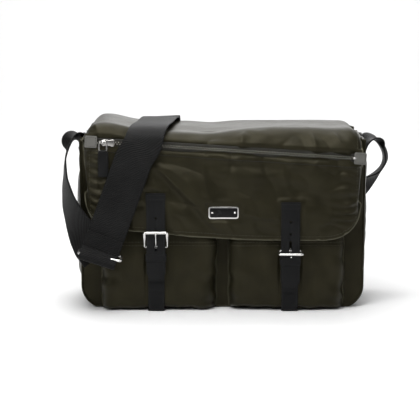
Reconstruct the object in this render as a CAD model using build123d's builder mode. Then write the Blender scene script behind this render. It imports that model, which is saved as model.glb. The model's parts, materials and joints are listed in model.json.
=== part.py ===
"""A soft messenger bag: walls, pockets, flap with zip, dummy-buckle closures and shoulder strap.

Millimetres. +X is the wearer's view to the right, the front faces -Y, +Z is up, and the origin is
the middle of the base on the surface that the bag stands on.
"""

from build123d import *
import math
import os

os.makedirs("parts", exist_ok=True)

# Main body
BAG_W = 380.0  # outside width over the gussets
BAG_D = 112.0  # outside depth over the front and back panels
WALL_H = 238.0  # height of the walls
WALL = 3.0  # padded fabric of panels and gussets
CORNER_R = 30.0  # bottom corners of the panels
LINING_T = 0.8
LINING_GAP = 0.3
BOARD_T = 2.5
BOARD_MARGIN = 4.0
RIM_T = 2.0  # binding round the mouth
RIM_W = 5.0

# Front patch pockets
POCKET_W = 154.0
POCKET_H = 114.0
POCKET_D = 24.0
POCKET_WALL = 2.0
POCKET_GAP = 18.0  # between the two pockets
POCKET_R = 12.0
POCKET_LIFT = 2.0  # pocket bottoms above the floor
HEM_H = 22.0
HEM_T = 1.0

# Flap
FLAP_W = 362.0
FLAP_T = 3.0
FLAP_GAP = 6.5  # between the pocket fronts and the flap
FLAP_RISE = 4.5  # between the rim and the flap
SHOULDER_R = 6.0
FLAP_LOW_LEFT = 117.0  # lower edge above the floor at the left corner
FLAP_LOW_MID = 99.0
FLAP_LOW_RIGHT = 98.0
FLAP_MID_X = 50.0
FLAP_CORNER_R = 42.0
FLAP_EDGE_BLEND_R = 250.0
FLAP_LINING_T = 0.8
PIPING_W = 2.5
HINGE_Y = BAG_D / 2 + 1.5  # the flap folds about this line behind the mouth
HINGE_CLEAR = 1.0
HINGE_STRIP_H = 30.0
HINGE_STRIP_T = 1.6

# Zip across the flap
ZIP_LEFT_X = -166.0
ZIP_LEFT_Z = 230.0
ZIP_LENGTH = 340.0
ZIP_TILT = 3.6  # degrees down towards the right
ZIP_SLOT = 10.0
TAPE_W = 8.5
TAPE_T = 0.8
TOOTH_H = 2.6
TOOTH_T = 2.4
ZIP_TAB_L = 15.0
ZIP_TAB_H = 15.0
ZIP_TAB_T = 1.2
STOP_L = 3.0
SLIDER_L = 17.0
SLIDER_H = 9.6
SLIDER_T = 1.8
SLIDER_AT = 15.0  # along the zip, when closed
POST_BACK = 6.5  # the post stands this far behind the slider's middle
RUN_CLEAR = 0.4  # between pieces that slide or swing past each other
POST_R = 1.4
POST_CAP_R = 2.6
POST_CAP_T = 1.0
PIN_CLEAR = 0.08  # radial running clearance
BAIL_T = 1.5
BAIL_W = 12.0
BAIL_L = 16.0
BAIL_RIM = 2.0
PULL_W = 14.0
PULL_L = 27.0
PULL_T = 1.4

# Blank plate
PLATE_X = 1.0
PLATE_Z = 136.0
PLATE_W = 40.0
PLATE_H = 16.0
PLATE_T = 1.6
RIVET_R = 1.6
RIVET_T = 0.8

# Closures: belt, loop, buckle, keeper and a hidden magnet under each
BELT_XS = {"left": -89.0, "right": 90.0}
BELT_TOPS = {"left": 162.0, "right": 150.0}
HEEL_ZS = {"left": 89.0, "right": 84.0}
BUCKLE_LEANS = {"left": 22.0, "right": 92.0}  # degrees from upright, towards the front
BELT_W = 25.0
BELT_T = 2.2
BELT_L = 116.0
BELT_GAP = 0.2
HOLE_R = 1.5
HOLE_PITCH = 16.4
HOLES_ABOVE = 2
PRONG_SLOT_W = 4.4
PRONG_SLOT_BELOW = 5.5
PRONG_SLOT_ABOVE = 15.0
HEEL_R = 1.1
LOOP_T = 0.9  # leather loop that carries the heel bar
LOOP_H = 36.0
LOOP_NOTCH_W = 6.0
BUCKLE_W = BELT_W + 8.5  # clears the belt on both sides
BUCKLE_LEG_W = 3.4
BUCKLE_H = 22.0
BUCKLE_T = 3.0
PRONG_R = 1.2
PRONG_RING_T = 1.1
PRONG_RING_W = 3.2
KEEPER_H = 9.0
KEEPER_T = 1.0
KEEPER_DROP = 14.0  # keeper centre below the heel bar
LOWER_W = 22.0
LOWER_T = 2.0
LOWER_H = 84.0
MAGNET_R = 7.5
MAGNET_T = 1.0
MAGNET_PROUD = 0.8  # the pocket's magnet stands this far out of its strap
MAGNET_DROP = 23.0  # magnet centre below the heel bar

# Shoulder strap
WEB_W = 50.0
WEB_T = 2.5
WEB_GAP = 0.4
WEB_STAND = 11.5  # the hanging part stands this far off the flap
WEB_TOP_REAR_X = -83.0
WEB_TOP_FRONT_X = -101.0
WEB_SLANT = 0.37  # sideways run per unit of drop
WEB_LOW_Z = 84.0
TAIL_H = 20.0
RING_W = 60.0
RING_D = 19.0
RING_WIRE_R = 1.75
RING_TILT = 78.0
ANCHOR_W = 32.0
ANCHOR_H = 42.0
ANCHOR_T = 2.5
ANCHOR_DROP = 6.0
LOOP_OUT = 26.0  # how far the strap's side loops stand out from the gussets
REAR_LOW_X = 186.0
REAR_LOW_Z = 140.0

# Levels and planes that follow from the sizes above
FRONT_Y = -BAG_D / 2
BACK_Y = BAG_D / 2
POCKET_FRONT_Y = FRONT_Y - POCKET_D
FLAP_IN_Y = POCKET_FRONT_Y - FLAP_GAP
FLAP_OUT_Y = FLAP_IN_Y - FLAP_T
FLAP_IN_Z = WALL_H + RIM_T + FLAP_RISE
FLAP_OUT_Z = FLAP_IN_Z + FLAP_T
HINGE_Z = FLAP_IN_Z + 1.5
TOOTH_BACK_Y = FLAP_IN_Y - TAPE_T
TOOTH_FRONT_Y = TOOTH_BACK_Y - TOOTH_T
SLIDER_BACK_Y = FLAP_OUT_Y - RUN_CLEAR
SLIDER_FRONT_Y = SLIDER_BACK_Y - SLIDER_T
BAIL_BACK_Y = SLIDER_FRONT_Y - RUN_CLEAR
BELT_BACK_Y = FLAP_OUT_Y - BELT_GAP
BELT_FRONT_Y = BELT_BACK_Y - BELT_T
HEEL_Y = FLAP_OUT_Y + 3.2
WEB_TOP_Z = FLAP_OUT_Z + WEB_GAP
WEB_BACK_Y = FLAP_OUT_Y - WEB_STAND
WEB_FRONT_Y = WEB_BACK_Y - WEB_T


def finish(builder, name):
    """Label a finished piece and write its STEP file."""
    builder.part.label = name
    export_step(builder.part, f"parts/{name}.step")


def front_plane(y):
    """A plane facing the front at depth y, with sketch x along +X and sketch y along +Z."""
    return Plane(origin=(0, y, 0), x_dir=(1, 0, 0), z_dir=(0, -1, 0))


def zip_plane(y, along=0.0):
    """A plane at depth y whose x runs down the zip, from a place along it."""
    tilt = math.radians(ZIP_TILT)
    x = ZIP_LEFT_X + along * math.cos(tilt)
    z = ZIP_LEFT_Z - along * math.sin(tilt)
    return Plane(origin=(x, y, z), x_dir=(math.cos(tilt), 0, -math.sin(tilt)), z_dir=(0, -1, 0))


def panel_outline(inset):
    """Panel outline with square top corners and round bottom corners."""
    half = BAG_W / 2 - inset
    with BuildSketch() as outline:
        with BuildLine():
            FilletPolyline(
                (-half, WALL_H), (-half, inset), (half, inset), (half, WALL_H), radius=CORNER_R - inset
            )
            Line((half, WALL_H), (-half, WALL_H))
        make_face()
    return outline.sketch


def body_panels():
    """Front and back panels."""
    outline = panel_outline(0)
    for name, y in (("front_panel", FRONT_Y + WALL), ("back_panel", BACK_Y)):
        with BuildPart() as panel:
            with BuildSketch(front_plane(y)):
                add(outline)
            extrude(amount=WALL)
        finish(panel, name)


def gusset_strip():
    """The strip round the sides and the base, cut into the two gussets and the base panel."""
    side_x = BAG_W / 2 - CORNER_R
    side_w = CORNER_R + WALL
    cuts = {
        "gusset_left": (-side_x - side_w / 2, side_w),
        "base_panel": (0, 2 * side_x),
        "gusset_right": (side_x + side_w / 2, side_w),
    }
    outer, inner = panel_outline(0), panel_outline(WALL)
    for name, (x, width) in cuts.items():
        with BuildPart() as strip:
            with BuildSketch(front_plane(BACK_Y - WALL)):
                add(outer)
                add(inner, mode=Mode.SUBTRACT)
            extrude(amount=BAG_D - 2 * WALL)
            with Locations((x, 0, WALL_H / 2)):
                Box(width, BAG_D, WALL_H + WALL, mode=Mode.INTERSECT)
        finish(strip, name)


def lining_and_board():
    """Thin lining set inside the walls, and the board that stiffens the bottom."""
    outer = WALL + LINING_GAP
    inner = outer + LINING_T
    outside, inside = panel_outline(outer), panel_outline(inner)
    with BuildPart() as lining:
        with BuildSketch(front_plane(BACK_Y - outer)):
            add(outside)
        extrude(amount=BAG_D - 2 * outer)
        with BuildSketch(front_plane(BACK_Y - inner)):
            add(inside)
        extrude(amount=BAG_D - 2 * inner, mode=Mode.SUBTRACT)
    finish(lining, "lining")

    length = BAG_W - 2 * CORNER_R - 2 * BOARD_MARGIN
    depth = BAG_D - 2 * inner - 2 * BOARD_MARGIN
    with BuildPart() as board:
        with BuildSketch(Plane.XY.offset(inner)):
            RectangleRounded(length, depth, BOARD_MARGIN)
        extrude(amount=BOARD_T)
    finish(board, "base_board")


def rim_binding():
    """Binding tape capped over the top edges of the walls, round the mouth."""
    with BuildPart() as rim:
        with BuildSketch(Plane.XY.offset(WALL_H)):
            Rectangle(BAG_W, BAG_D)
            Rectangle(BAG_W - 2 * RIM_W, BAG_D - 2 * RIM_W, mode=Mode.SUBTRACT)
        extrude(amount=RIM_T)
    finish(rim, "rim_binding")


def hinge_strip():
    """Strip on the back panel that carries the flap's fold."""
    top = HINGE_Z - 1.5 - HINGE_CLEAR + 0.3
    with BuildPart() as strip:
        with BuildSketch(front_plane(BACK_Y + HINGE_STRIP_T)):
            with Locations((0, top - HINGE_STRIP_H / 2)):
                Rectangle(FLAP_W, HINGE_STRIP_H)
        extrude(amount=HINGE_STRIP_T)
    finish(strip, "flap_hinge_strip")


def pockets():
    """Two bellows pockets, open at the top, with a hem inside each mouth."""
    x = (POCKET_W + POCKET_GAP) / 2
    inner_w = POCKET_W - 2 * POCKET_WALL
    for side, centre in (("left", -x), ("right", x)):
        with BuildPart() as pocket:
            with BuildSketch(front_plane(FRONT_Y)):
                with Locations((centre, POCKET_LIFT + POCKET_H / 2)):
                    Rectangle(POCKET_W, POCKET_H)
            extrude(amount=POCKET_D)
            fillet(pocket.edges().filter_by(Axis.Y).group_by(Axis.Z)[0], POCKET_R)
            with BuildSketch(front_plane(FRONT_Y)):
                with Locations((centre, POCKET_LIFT + POCKET_WALL + POCKET_H / 2)):
                    Rectangle(inner_w, POCKET_H)
            extrude(amount=POCKET_D - POCKET_WALL, mode=Mode.SUBTRACT)
        finish(pocket, f"pocket_{side}")

        with BuildPart() as hem:
            with BuildSketch(front_plane(POCKET_FRONT_Y + POCKET_WALL + HEM_T)):
                with Locations((centre, POCKET_LIFT + POCKET_H - HEM_H / 2)):
                    Rectangle(inner_w, HEM_H)
            extrude(amount=HEM_T)
        finish(hem, f"pocket_hem_{side}")


def flap_front_outline(grow):
    """Outline of the flap's hanging front, grown by a margin at its sides and below."""
    half = FLAP_W / 2 + grow
    with BuildSketch() as outline:
        with BuildLine():
            FilletPolyline(
                (-half, FLAP_OUT_Z),
                (-half, FLAP_LOW_LEFT - grow),
                (FLAP_MID_X, FLAP_LOW_MID - grow),
                (half, FLAP_LOW_RIGHT - grow),
                (half, FLAP_OUT_Z),
                radius=(FLAP_CORNER_R + grow, FLAP_EDGE_BLEND_R, FLAP_CORNER_R + grow),
            )
            Line((half, FLAP_OUT_Z), (-half, FLAP_OUT_Z))
        make_face()
    return outline.sketch


def flap_sheets():
    """The flap's shell and the lining behind its front, both cut to the flap's outline."""
    lining_y = FLAP_IN_Y + TAPE_T
    rear_y = HINGE_Y - HINGE_CLEAR
    low_z = FLAP_LOW_RIGHT - PIPING_W
    outline = flap_front_outline(0)
    lining_outline = flap_front_outline(-BOARD_MARGIN)
    with BuildPart() as flap:
        with BuildSketch(Plane.YZ):
            with BuildLine():
                FilletPolyline(
                    (rear_y, FLAP_OUT_Z), (FLAP_OUT_Y, FLAP_OUT_Z), (FLAP_OUT_Y, low_z),
                    radius=SHOULDER_R,
                )
                Line((FLAP_OUT_Y, low_z), (FLAP_IN_Y, low_z))
                FilletPolyline(
                    (FLAP_IN_Y, low_z), (FLAP_IN_Y, FLAP_IN_Z), (rear_y, FLAP_IN_Z),
                    radius=SHOULDER_R - FLAP_T,
                )
                Line((rear_y, FLAP_IN_Z), (rear_y, FLAP_OUT_Z))
            make_face()
        extrude(amount=FLAP_W / 2, both=True)
        with BuildSketch(front_plane(rear_y)):
            add(outline)
        extrude(amount=rear_y - FLAP_OUT_Y, mode=Mode.INTERSECT)
        with BuildSketch(zip_plane(FLAP_IN_Y, ZIP_LENGTH / 2)):
            Rectangle(ZIP_LENGTH, ZIP_SLOT)
        extrude(amount=FLAP_T, mode=Mode.SUBTRACT)
    finish(flap, "flap")

    with BuildPart() as lining:
        with BuildSketch(front_plane(lining_y + FLAP_LINING_T)):
            add(lining_outline)
        extrude(amount=FLAP_LINING_T)
        with Locations((0, lining_y, FLAP_OUT_Z)):
            Box(FLAP_W, FLAP_W, 2 * (FLAP_T + SHOULDER_R), mode=Mode.SUBTRACT)
    finish(lining, "flap_lining")


def flap_piping():
    """Round piping along the sides and the lower edge of the flap's front."""
    top = FLAP_OUT_Z - SHOULDER_R
    outer, inner = flap_front_outline(PIPING_W), flap_front_outline(0)
    with BuildPart() as piping:
        with BuildSketch(front_plane(FLAP_IN_Y)):
            add(outer)
            add(inner, mode=Mode.SUBTRACT)
        extrude(amount=FLAP_T)
        with Locations((0, FLAP_OUT_Y, top + FLAP_W / 2)):
            Box(2 * FLAP_W, FLAP_W, FLAP_W, mode=Mode.SUBTRACT)
    finish(piping, "flap_piping")


def zip_fixed():
    """Tapes, tooth rows, end stops and end tabs of the flap's zip."""
    middle = ZIP_LENGTH / 2
    tape_l = ZIP_LENGTH + ZIP_TAB_L
    for row, way in (("upper", 1), ("lower", -1)):
        with BuildPart() as tape:
            with BuildSketch(zip_plane(FLAP_IN_Y + TAPE_T, middle)):
                with Locations((0, way * (TAPE_W / 2 + PIN_CLEAR))):
                    Rectangle(tape_l, TAPE_W)
            extrude(amount=TAPE_T)
        finish(tape, f"zip_tape_{row}")

        with BuildPart() as teeth:
            with BuildSketch(zip_plane(FLAP_IN_Y, middle)):
                with Locations((0, way * (TOOTH_H / 2 + PIN_CLEAR))):
                    Rectangle(ZIP_LENGTH - 2 * STOP_L, TOOTH_H)
            extrude(amount=TOOTH_T)
        finish(teeth, f"zip_teeth_{row}")

    with BuildPart() as stops:
        with BuildSketch(zip_plane(FLAP_IN_Y, middle)):
            with GridLocations(ZIP_LENGTH - STOP_L, 1, 2, 1):
                Rectangle(STOP_L, 2 * TOOTH_H)
        extrude(amount=FLAP_T)
    finish(stops, "zip_stops")

    for side, along in (("left", -ZIP_TAB_L / 2), ("right", ZIP_LENGTH + ZIP_TAB_L / 2)):
        with BuildPart() as tab:
            with BuildSketch(zip_plane(FLAP_OUT_Y, along)):
                RectangleRounded(ZIP_TAB_L, ZIP_TAB_H, 1.5)
            extrude(amount=ZIP_TAB_T)
        finish(tab, f"zip_tab_{side}")


def zip_slider():
    """Slider shell with its swivel post, the flat bail that turns on it, and the leather pull."""
    cap_y = BAIL_BACK_Y - BAIL_T - RUN_CLEAR
    pivot = zip_plane(0, SLIDER_AT - POST_BACK).origin
    post = (pivot.X, pivot.Z)
    with BuildPart() as slider:
        with BuildSketch(zip_plane(SLIDER_BACK_Y, SLIDER_AT)):
            with BuildLine():
                Polyline(
                    (-SLIDER_L / 2, -SLIDER_H / 3),
                    (SLIDER_L / 6, -SLIDER_H / 2),
                    (SLIDER_L / 2, -SLIDER_H / 3),
                    (SLIDER_L / 2, SLIDER_H / 3),
                    (SLIDER_L / 6, SLIDER_H / 2),
                    (-SLIDER_L / 2, SLIDER_H / 3),
                    close=True,
                )
            make_face()
        extrude(amount=SLIDER_T)
        with BuildSketch(front_plane(SLIDER_FRONT_Y)):
            with Locations(post):
                Circle(POST_R)
        extrude(amount=SLIDER_FRONT_Y - cap_y)
        with BuildSketch(front_plane(cap_y)):
            with Locations(post):
                Circle(POST_CAP_R)
        extrude(amount=POST_CAP_T)
    finish(slider, "zip_slider")

    with BuildPart() as bail:
        with BuildSketch(front_plane(BAIL_BACK_Y)):
            with Locations((post[0], post[1] - BAIL_L / 2 + BAIL_W / 4)):
                RectangleRounded(BAIL_W, BAIL_L, BAIL_W / 4)
            with Locations((post[0], post[1] - BAIL_L + BAIL_W / 4 + 2 * BAIL_RIM)):
                RectangleRounded(BAIL_W - 2 * BAIL_RIM, 2 * BAIL_RIM, 1.0, mode=Mode.SUBTRACT)
            with Locations(post):
                Circle(POST_R + PIN_CLEAR, mode=Mode.SUBTRACT)
        extrude(amount=BAIL_T)
    finish(bail, "zip_bail")

    bar_z = post[1] - BAIL_L + BAIL_W / 4 + BAIL_RIM / 2
    bar_y = BAIL_BACK_Y - BAIL_T / 2
    gap = BAIL_RIM / 2 + RUN_CLEAR + 0.3
    fold_r = gap + PULL_T
    with BuildPart() as pull:
        with BuildSketch(Plane(origin=(post[0] - (BAIL_W - 2 * BAIL_RIM) / 2 + RUN_CLEAR, bar_y, bar_z),
                               x_dir=(0, 1, 0), z_dir=(1, 0, 0))):
            Circle(fold_r)
            with Locations((0, -fold_r)):
                Rectangle(2 * fold_r, 2 * fold_r)
            with Locations((0, -fold_r * 1.5)):
                Rectangle(2 * gap, fold_r, mode=Mode.SUBTRACT)
            Circle(gap, mode=Mode.SUBTRACT)
            with Locations((0, -fold_r / 2)):
                Rectangle(2 * gap, fold_r, mode=Mode.SUBTRACT)
        extrude(amount=BAIL_W - 2 * BAIL_RIM - 2 * RUN_CLEAR)
        with BuildSketch(front_plane(bar_y + fold_r)):
            with Locations((post[0], bar_z - 2 * fold_r - PULL_L / 2)):
                RectangleRounded(PULL_W, PULL_L, 3.0)
        extrude(amount=2 * fold_r)
    finish(pull, "zip_pull")
    print("bail pivot", post, "pull pivot", (post[0], bar_y, bar_z))


def blank_plate():
    """Blank metal plate on the flap, with its two rivets."""
    with BuildPart() as plate:
        with BuildSketch(front_plane(FLAP_OUT_Y)):
            with Locations((PLATE_X, PLATE_Z)):
                RectangleRounded(PLATE_W, PLATE_H, 3.0)
        extrude(amount=PLATE_T)
        fillet(plate.faces().sort_by(Axis.Y)[0].outer_wire().edges(), 0.5)
    finish(plate, "blank_plate")

    with BuildPart() as rivets:
        with BuildSketch(front_plane(FLAP_OUT_Y - PLATE_T)):
            with Locations((PLATE_X, PLATE_Z)):
                with GridLocations(PLATE_W - 8 * RIVET_R, 1, 2, 1):
                    Circle(RIVET_R)
        extrude(amount=RIVET_T)
    finish(rivets, "plate_rivets")


def closure_fixed(side):
    """The leather and the magnets of one closure, on the flap and on the pocket."""
    x, heel_z = BELT_XS[side], HEEL_ZS[side]
    belt_top = BELT_TOPS[side]
    belt_low = belt_top - BELT_L
    slot_z = heel_z + (PRONG_SLOT_ABOVE - PRONG_SLOT_BELOW) / 2
    with BuildPart() as belt:
        with BuildSketch(front_plane(BELT_BACK_Y)):
            with Locations((x, (belt_top + belt_low) / 2)):
                Rectangle(BELT_W, BELT_L)
            with Locations((x, slot_z)):
                SlotOverall(PRONG_SLOT_ABOVE + PRONG_SLOT_BELOW, PRONG_SLOT_W, rotation=90,
                            mode=Mode.SUBTRACT)
            first = heel_z + PRONG_SLOT_ABOVE + HOLE_PITCH / 2
            for i in range(HOLES_ABOVE):
                with Locations((x, first + i * HOLE_PITCH)):
                    Circle(HOLE_R, mode=Mode.SUBTRACT)
        extrude(amount=BELT_T)
        fillet(belt.edges().filter_by(Axis.Y).group_by(Axis.Z)[0], BELT_W / 3)
    finish(belt, f"belt_{side}")

    with BuildPart() as seat:
        with BuildSketch(front_plane(FLAP_OUT_Y)):
            with Locations((x, belt_top - BELT_W / 4)):
                Rectangle(BELT_W, BELT_W / 2)
        extrude(amount=BELT_GAP)
    finish(seat, f"belt_seat_{side}")

    hole_r = HEEL_R + PIN_CLEAR
    loop_r = hole_r + LOOP_T
    with BuildPart() as loop:
        with BuildSketch(Plane(origin=(x - BELT_W / 2, 0, 0), x_dir=(0, 1, 0), z_dir=(1, 0, 0))):
            with Locations((HEEL_Y, heel_z)):
                Circle(loop_r)
            with Locations((HEEL_Y + loop_r - LOOP_T / 2, heel_z - LOOP_H / 2)):
                Rectangle(LOOP_T, LOOP_H)
            with Locations((HEEL_Y, heel_z)):
                Circle(hole_r, mode=Mode.SUBTRACT)
        extrude(amount=BELT_W)
        with Locations((x, HEEL_Y, heel_z)):
            Box(LOOP_NOTCH_W, 4 * loop_r, 2 * LOOP_NOTCH_W, mode=Mode.SUBTRACT)
    finish(loop, f"buckle_loop_{side}")

    loop_back = HEEL_Y + loop_r
    keeper_z = heel_z - KEEPER_DROP
    keeper_out_y = BELT_FRONT_Y - BELT_GAP - KEEPER_T
    keeper_in_y = loop_back + BELT_GAP + KEEPER_T
    keeper_w = BELT_W + 2 * BELT_GAP + 2 * KEEPER_T
    middle_y = (keeper_out_y + keeper_in_y) / 2
    depth = keeper_in_y - keeper_out_y
    with BuildPart() as keeper:
        with BuildSketch(Plane.XY.offset(keeper_z - KEEPER_H / 2)):
            with Locations((x, middle_y)):
                Rectangle(keeper_w, depth)
                Rectangle(keeper_w - 2 * KEEPER_T, depth - 2 * KEEPER_T, mode=Mode.SUBTRACT)
        extrude(amount=KEEPER_H)
    return keeper, loop_back, x, heel_z


def buckle(side):
    """Buckle frame that turns on its heel bar in the leather loop, and the prong on the same bar."""
    x, heel_z, lean = BELT_XS[side], HEEL_ZS[side], math.radians(BUCKLE_LEANS[side])
    plane = Plane(
        origin=(x, HEEL_Y, heel_z),
        x_dir=(1, 0, 0),
        z_dir=(0, -math.cos(lean), -math.sin(lean)),
    )
    leg_x = (BUCKLE_W - BUCKLE_LEG_W) / 2
    with BuildPart() as frame:
        with BuildSketch(plane):
            with Locations((0, BUCKLE_H)):
                Rectangle(BUCKLE_W, BUCKLE_LEG_W)
            for way in (-1, 1):
                with Locations((way * leg_x, BUCKLE_H / 2)):
                    Rectangle(BUCKLE_LEG_W, BUCKLE_H + BUCKLE_LEG_W)
        extrude(amount=BUCKLE_T / 2, both=True)
        with BuildSketch(Plane.YZ.offset(x - leg_x)):
            with Locations((HEEL_Y, heel_z)):
                Circle(HEEL_R)
        extrude(amount=2 * leg_x)
    finish(frame, f"buckle_{side}")

    ring_in = HEEL_R + PIN_CLEAR
    ring_out = ring_in + PRONG_RING_T
    rest = BUCKLE_T / 2 + PRONG_R + PIN_CLEAR
    extra = math.asin(rest / (BUCKLE_H - BUCKLE_LEG_W / 2))
    prong_lean = lean + extra
    prong_plane = Plane(
        origin=(x, HEEL_Y, heel_z),
        x_dir=(1, 0, 0),
        z_dir=(0, -math.sin(prong_lean), math.cos(prong_lean)),
    )
    with BuildPart() as prong:
        with BuildSketch(Plane.YZ.offset(x - PRONG_RING_W / 2)):
            with Locations((HEEL_Y, heel_z)):
                Circle(ring_out)
        extrude(amount=PRONG_RING_W)
        with BuildSketch(prong_plane.offset(HEEL_R)):
            Circle(PRONG_R)
        extrude(amount=BUCKLE_H + BUCKLE_LEG_W / 2 - HEEL_R)
        with BuildSketch(Plane.YZ.offset(x - PRONG_RING_W)):
            with Locations((HEEL_Y, heel_z)):
                Circle(ring_in)
        extrude(amount=2 * PRONG_RING_W, mode=Mode.SUBTRACT)
    finish(prong, f"prong_{side}")
    print(side, "heel bar", (x, HEEL_Y, heel_z), "prong lean beyond frame", math.degrees(extra))


def closures():
    """Both closures, with their keepers, magnets and the straps on the pockets."""
    for side in BELT_XS:
        keeper, loop_back, x, heel_z = closure_fixed(side)
        finish(keeper, f"keeper_{side}")
        buckle(side)
        magnet_z = heel_z - MAGNET_DROP - KEEPER_H / 2
        with BuildPart() as cap:
            with BuildSketch(front_plane(loop_back + MAGNET_T)):
                with Locations((x, magnet_z)):
                    Circle(MAGNET_R)
            extrude(amount=MAGNET_T)
        finish(cap, f"flap_magnet_{side}")

        with BuildPart() as lower:
            with BuildSketch(front_plane(POCKET_FRONT_Y)):
                with Locations((x, POCKET_LIFT + LOWER_H / 2)):
                    Rectangle(LOWER_W, LOWER_H)
                with Locations((x, magnet_z)):
                    Circle(MAGNET_R + PIN_CLEAR, mode=Mode.SUBTRACT)
            extrude(amount=LOWER_T)
        finish(lower, f"lower_strap_{side}")

        with BuildPart() as magnet:
            with BuildSketch(front_plane(POCKET_FRONT_Y)):
                with Locations((x, magnet_z)):
                    Circle(MAGNET_R)
            extrude(amount=LOWER_T + MAGNET_PROUD)
        finish(magnet, f"pocket_magnet_{side}")


def strap_anchors():
    """Leather anchors sewn to the tops of the gussets."""
    for side, way in (("left", -1), ("right", 1)):
        with BuildPart() as anchor:
            with BuildSketch(Plane.YZ.offset(way * BAG_W / 2)):
                with Locations((0, WALL_H - ANCHOR_DROP - ANCHOR_H / 2)):
                    RectangleRounded(ANCHOR_W, ANCHOR_H, 5.0)
            extrude(amount=way * ANCHOR_T)
        finish(anchor, f"strap_anchor_{side}")


def strap_front_x(z):
    """Centre of the hanging part of the strap at height z."""
    return WEB_TOP_FRONT_X - WEB_SLANT * (WEB_TOP_Z - z)


def strap_over_top():
    """The webbing over the top, its hanging front, the folded tail and the adjuster ring."""
    half = WEB_W / 2
    rear_y = HINGE_Y - HINGE_CLEAR
    with BuildPart() as crest:
        with BuildSketch(Plane.XY.offset(WEB_TOP_Z)):
            with BuildLine():
                Polyline(
                    (WEB_TOP_REAR_X - half, rear_y),
                    (WEB_TOP_REAR_X + half, rear_y),
                    (WEB_TOP_FRONT_X + half, WEB_BACK_Y),
                    (WEB_TOP_FRONT_X - half, WEB_BACK_Y),
                    close=True,
                )
            make_face()
        extrude(amount=WEB_T)
    finish(crest, "strap_crest")

    top = WEB_TOP_Z + WEB_T
    slope = math.atan(WEB_SLANT) / 2
    slant_end = half * math.tan(slope)
    for name, y, high, low in (
        ("strap_front", WEB_BACK_Y, top, WEB_LOW_Z),
        ("strap_tail", WEB_FRONT_Y, WEB_LOW_Z + TAIL_H, WEB_LOW_Z),
    ):
        with BuildPart() as web:
            with BuildSketch(front_plane(y)):
                with BuildLine():
                    Polyline(
                        (strap_front_x(high) - half, high),
                        (strap_front_x(high) + half, high),
                        (strap_front_x(low) + half, low - slant_end),
                        (strap_front_x(low) - half, low + slant_end),
                        close=True,
                    )
                make_face()
            extrude(amount=WEB_T)
        finish(web, name)

    low_x = strap_front_x(WEB_LOW_Z)
    ring_y = WEB_FRONT_Y
    ring_z = WEB_LOW_Z - RING_WIRE_R - 2 * WEB_GAP
    tilt = math.radians(RING_TILT)
    ring_plane = Plane(
        origin=(low_x, ring_y, ring_z),
        x_dir=(math.cos(slope), 0, -math.sin(slope)),
        z_dir=(math.sin(slope) * math.sin(tilt), -math.cos(tilt), math.cos(slope) * math.sin(tilt)),
    )
    with BuildPart() as ring:
        with BuildSketch(ring_plane):
            RectangleRounded(RING_W, RING_D, 4.0)
            RectangleRounded(RING_W - 4 * RING_WIRE_R, RING_D - 4 * RING_WIRE_R, 2.5,
                             mode=Mode.SUBTRACT)
            Rectangle(RING_W - 3 * RING_WIRE_R, 2 * RING_WIRE_R)
        extrude(amount=RING_WIRE_R, both=True)
    finish(ring, "adjuster_ring")
    print("ring", (low_x, ring_y, ring_z))


def ribbon(name, stations):
    """A webbing ribbon lofted through stations of (middle, across, outward) with straight runs."""
    with BuildPart() as web:
        for middle, across, along in stations:
            with BuildSketch(Plane(origin=middle, x_dir=across, z_dir=along)):
                Rectangle(WEB_W, WEB_T)
        loft(ruled=True)
    finish(web, name)


def strap_sides_and_rear():
    """The two side loops of the strap, and the run behind the bag."""
    edge = BAG_W / 2 + ANCHOR_T + WEB_GAP + WEB_T / 2
    out = edge + LOOP_OUT
    top_z = WALL_H - ANCHOR_DROP
    ring_x = strap_front_x(WEB_LOW_Z)
    ring_z = WEB_LOW_Z - 4 * RING_WIRE_R
    ring_y = WEB_FRONT_Y - RING_D / 2 - 2 * WEB_T
    down = (0, 0, -1)
    ribbon("strap_left", [
        ((-edge, 0, top_z - ANCHOR_H / 2), (0, 1, 0), (0, 0, 1)),
        ((-edge, 0, top_z), (0, 1, 0), (0, 0, 1)),
        ((-out + 6, -12, top_z + 4), (0, 1, 0), (-1, 0, 0)),
        ((-out, -26, top_z - 26), (0, 1, 0), down),
        ((-out - 2, -60, 160), (0.35, -0.94, 0), down),
        ((ring_x - RING_W / 2 - 12, ring_y + 2, 112), (0.75, -0.66, 0), down),
        ((ring_x - 8, ring_y, ring_z), (0.97, 0, -0.2), (-0.2, 0, -0.97)),
    ])
    ribbon("strap_right", [
        ((edge, 0, top_z - ANCHOR_H / 2), (0, -1, 0), (0, 0, 1)),
        ((edge, 0, top_z), (0, -1, 0), (0, 0, 1)),
        ((out - 8, 6, top_z + 2), (0, -1, 0), (1, 0, 0)),
        ((out, 20, top_z - 28), (0, -1, 0), down),
        ((out - 10, 46, 176), (-0.25, -0.97, 0), down),
        ((edge + 4, BACK_Y + 14, REAR_LOW_Z + 12), (-0.6, 0, 0.8), (-0.8, 0, -0.6)),
    ])
    rear_y = BACK_Y + HINGE_STRIP_T + WEB_GAP + WEB_T / 2
    ribbon("strap_rear", [
        ((REAR_LOW_X - 4, BACK_Y + 10, REAR_LOW_Z), (-0.45, 0, 0.89), (-0.89, 0, -0.45)),
        ((120, rear_y, 118), (0, 0, 1), (-1, 0, 0)),
        ((20, rear_y, 128), (0.3, 0, 0.95), (-0.95, 0, 0.3)),
        ((-62, rear_y, 186), (0.85, 0, 0.53), (-0.53, 0, 0.85)),
        ((WEB_TOP_REAR_X, rear_y, HINGE_Z - 9), (1, 0, 0), (0, 0, 1)),
    ])


body_panels()
gusset_strip()
lining_and_board()
rim_binding()
hinge_strip()
pockets()
flap_sheets()
flap_piping()
zip_fixed()
zip_slider()
blank_plate()
closures()
strap_anchors()
strap_over_top()
strap_sides_and_rear()
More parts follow.
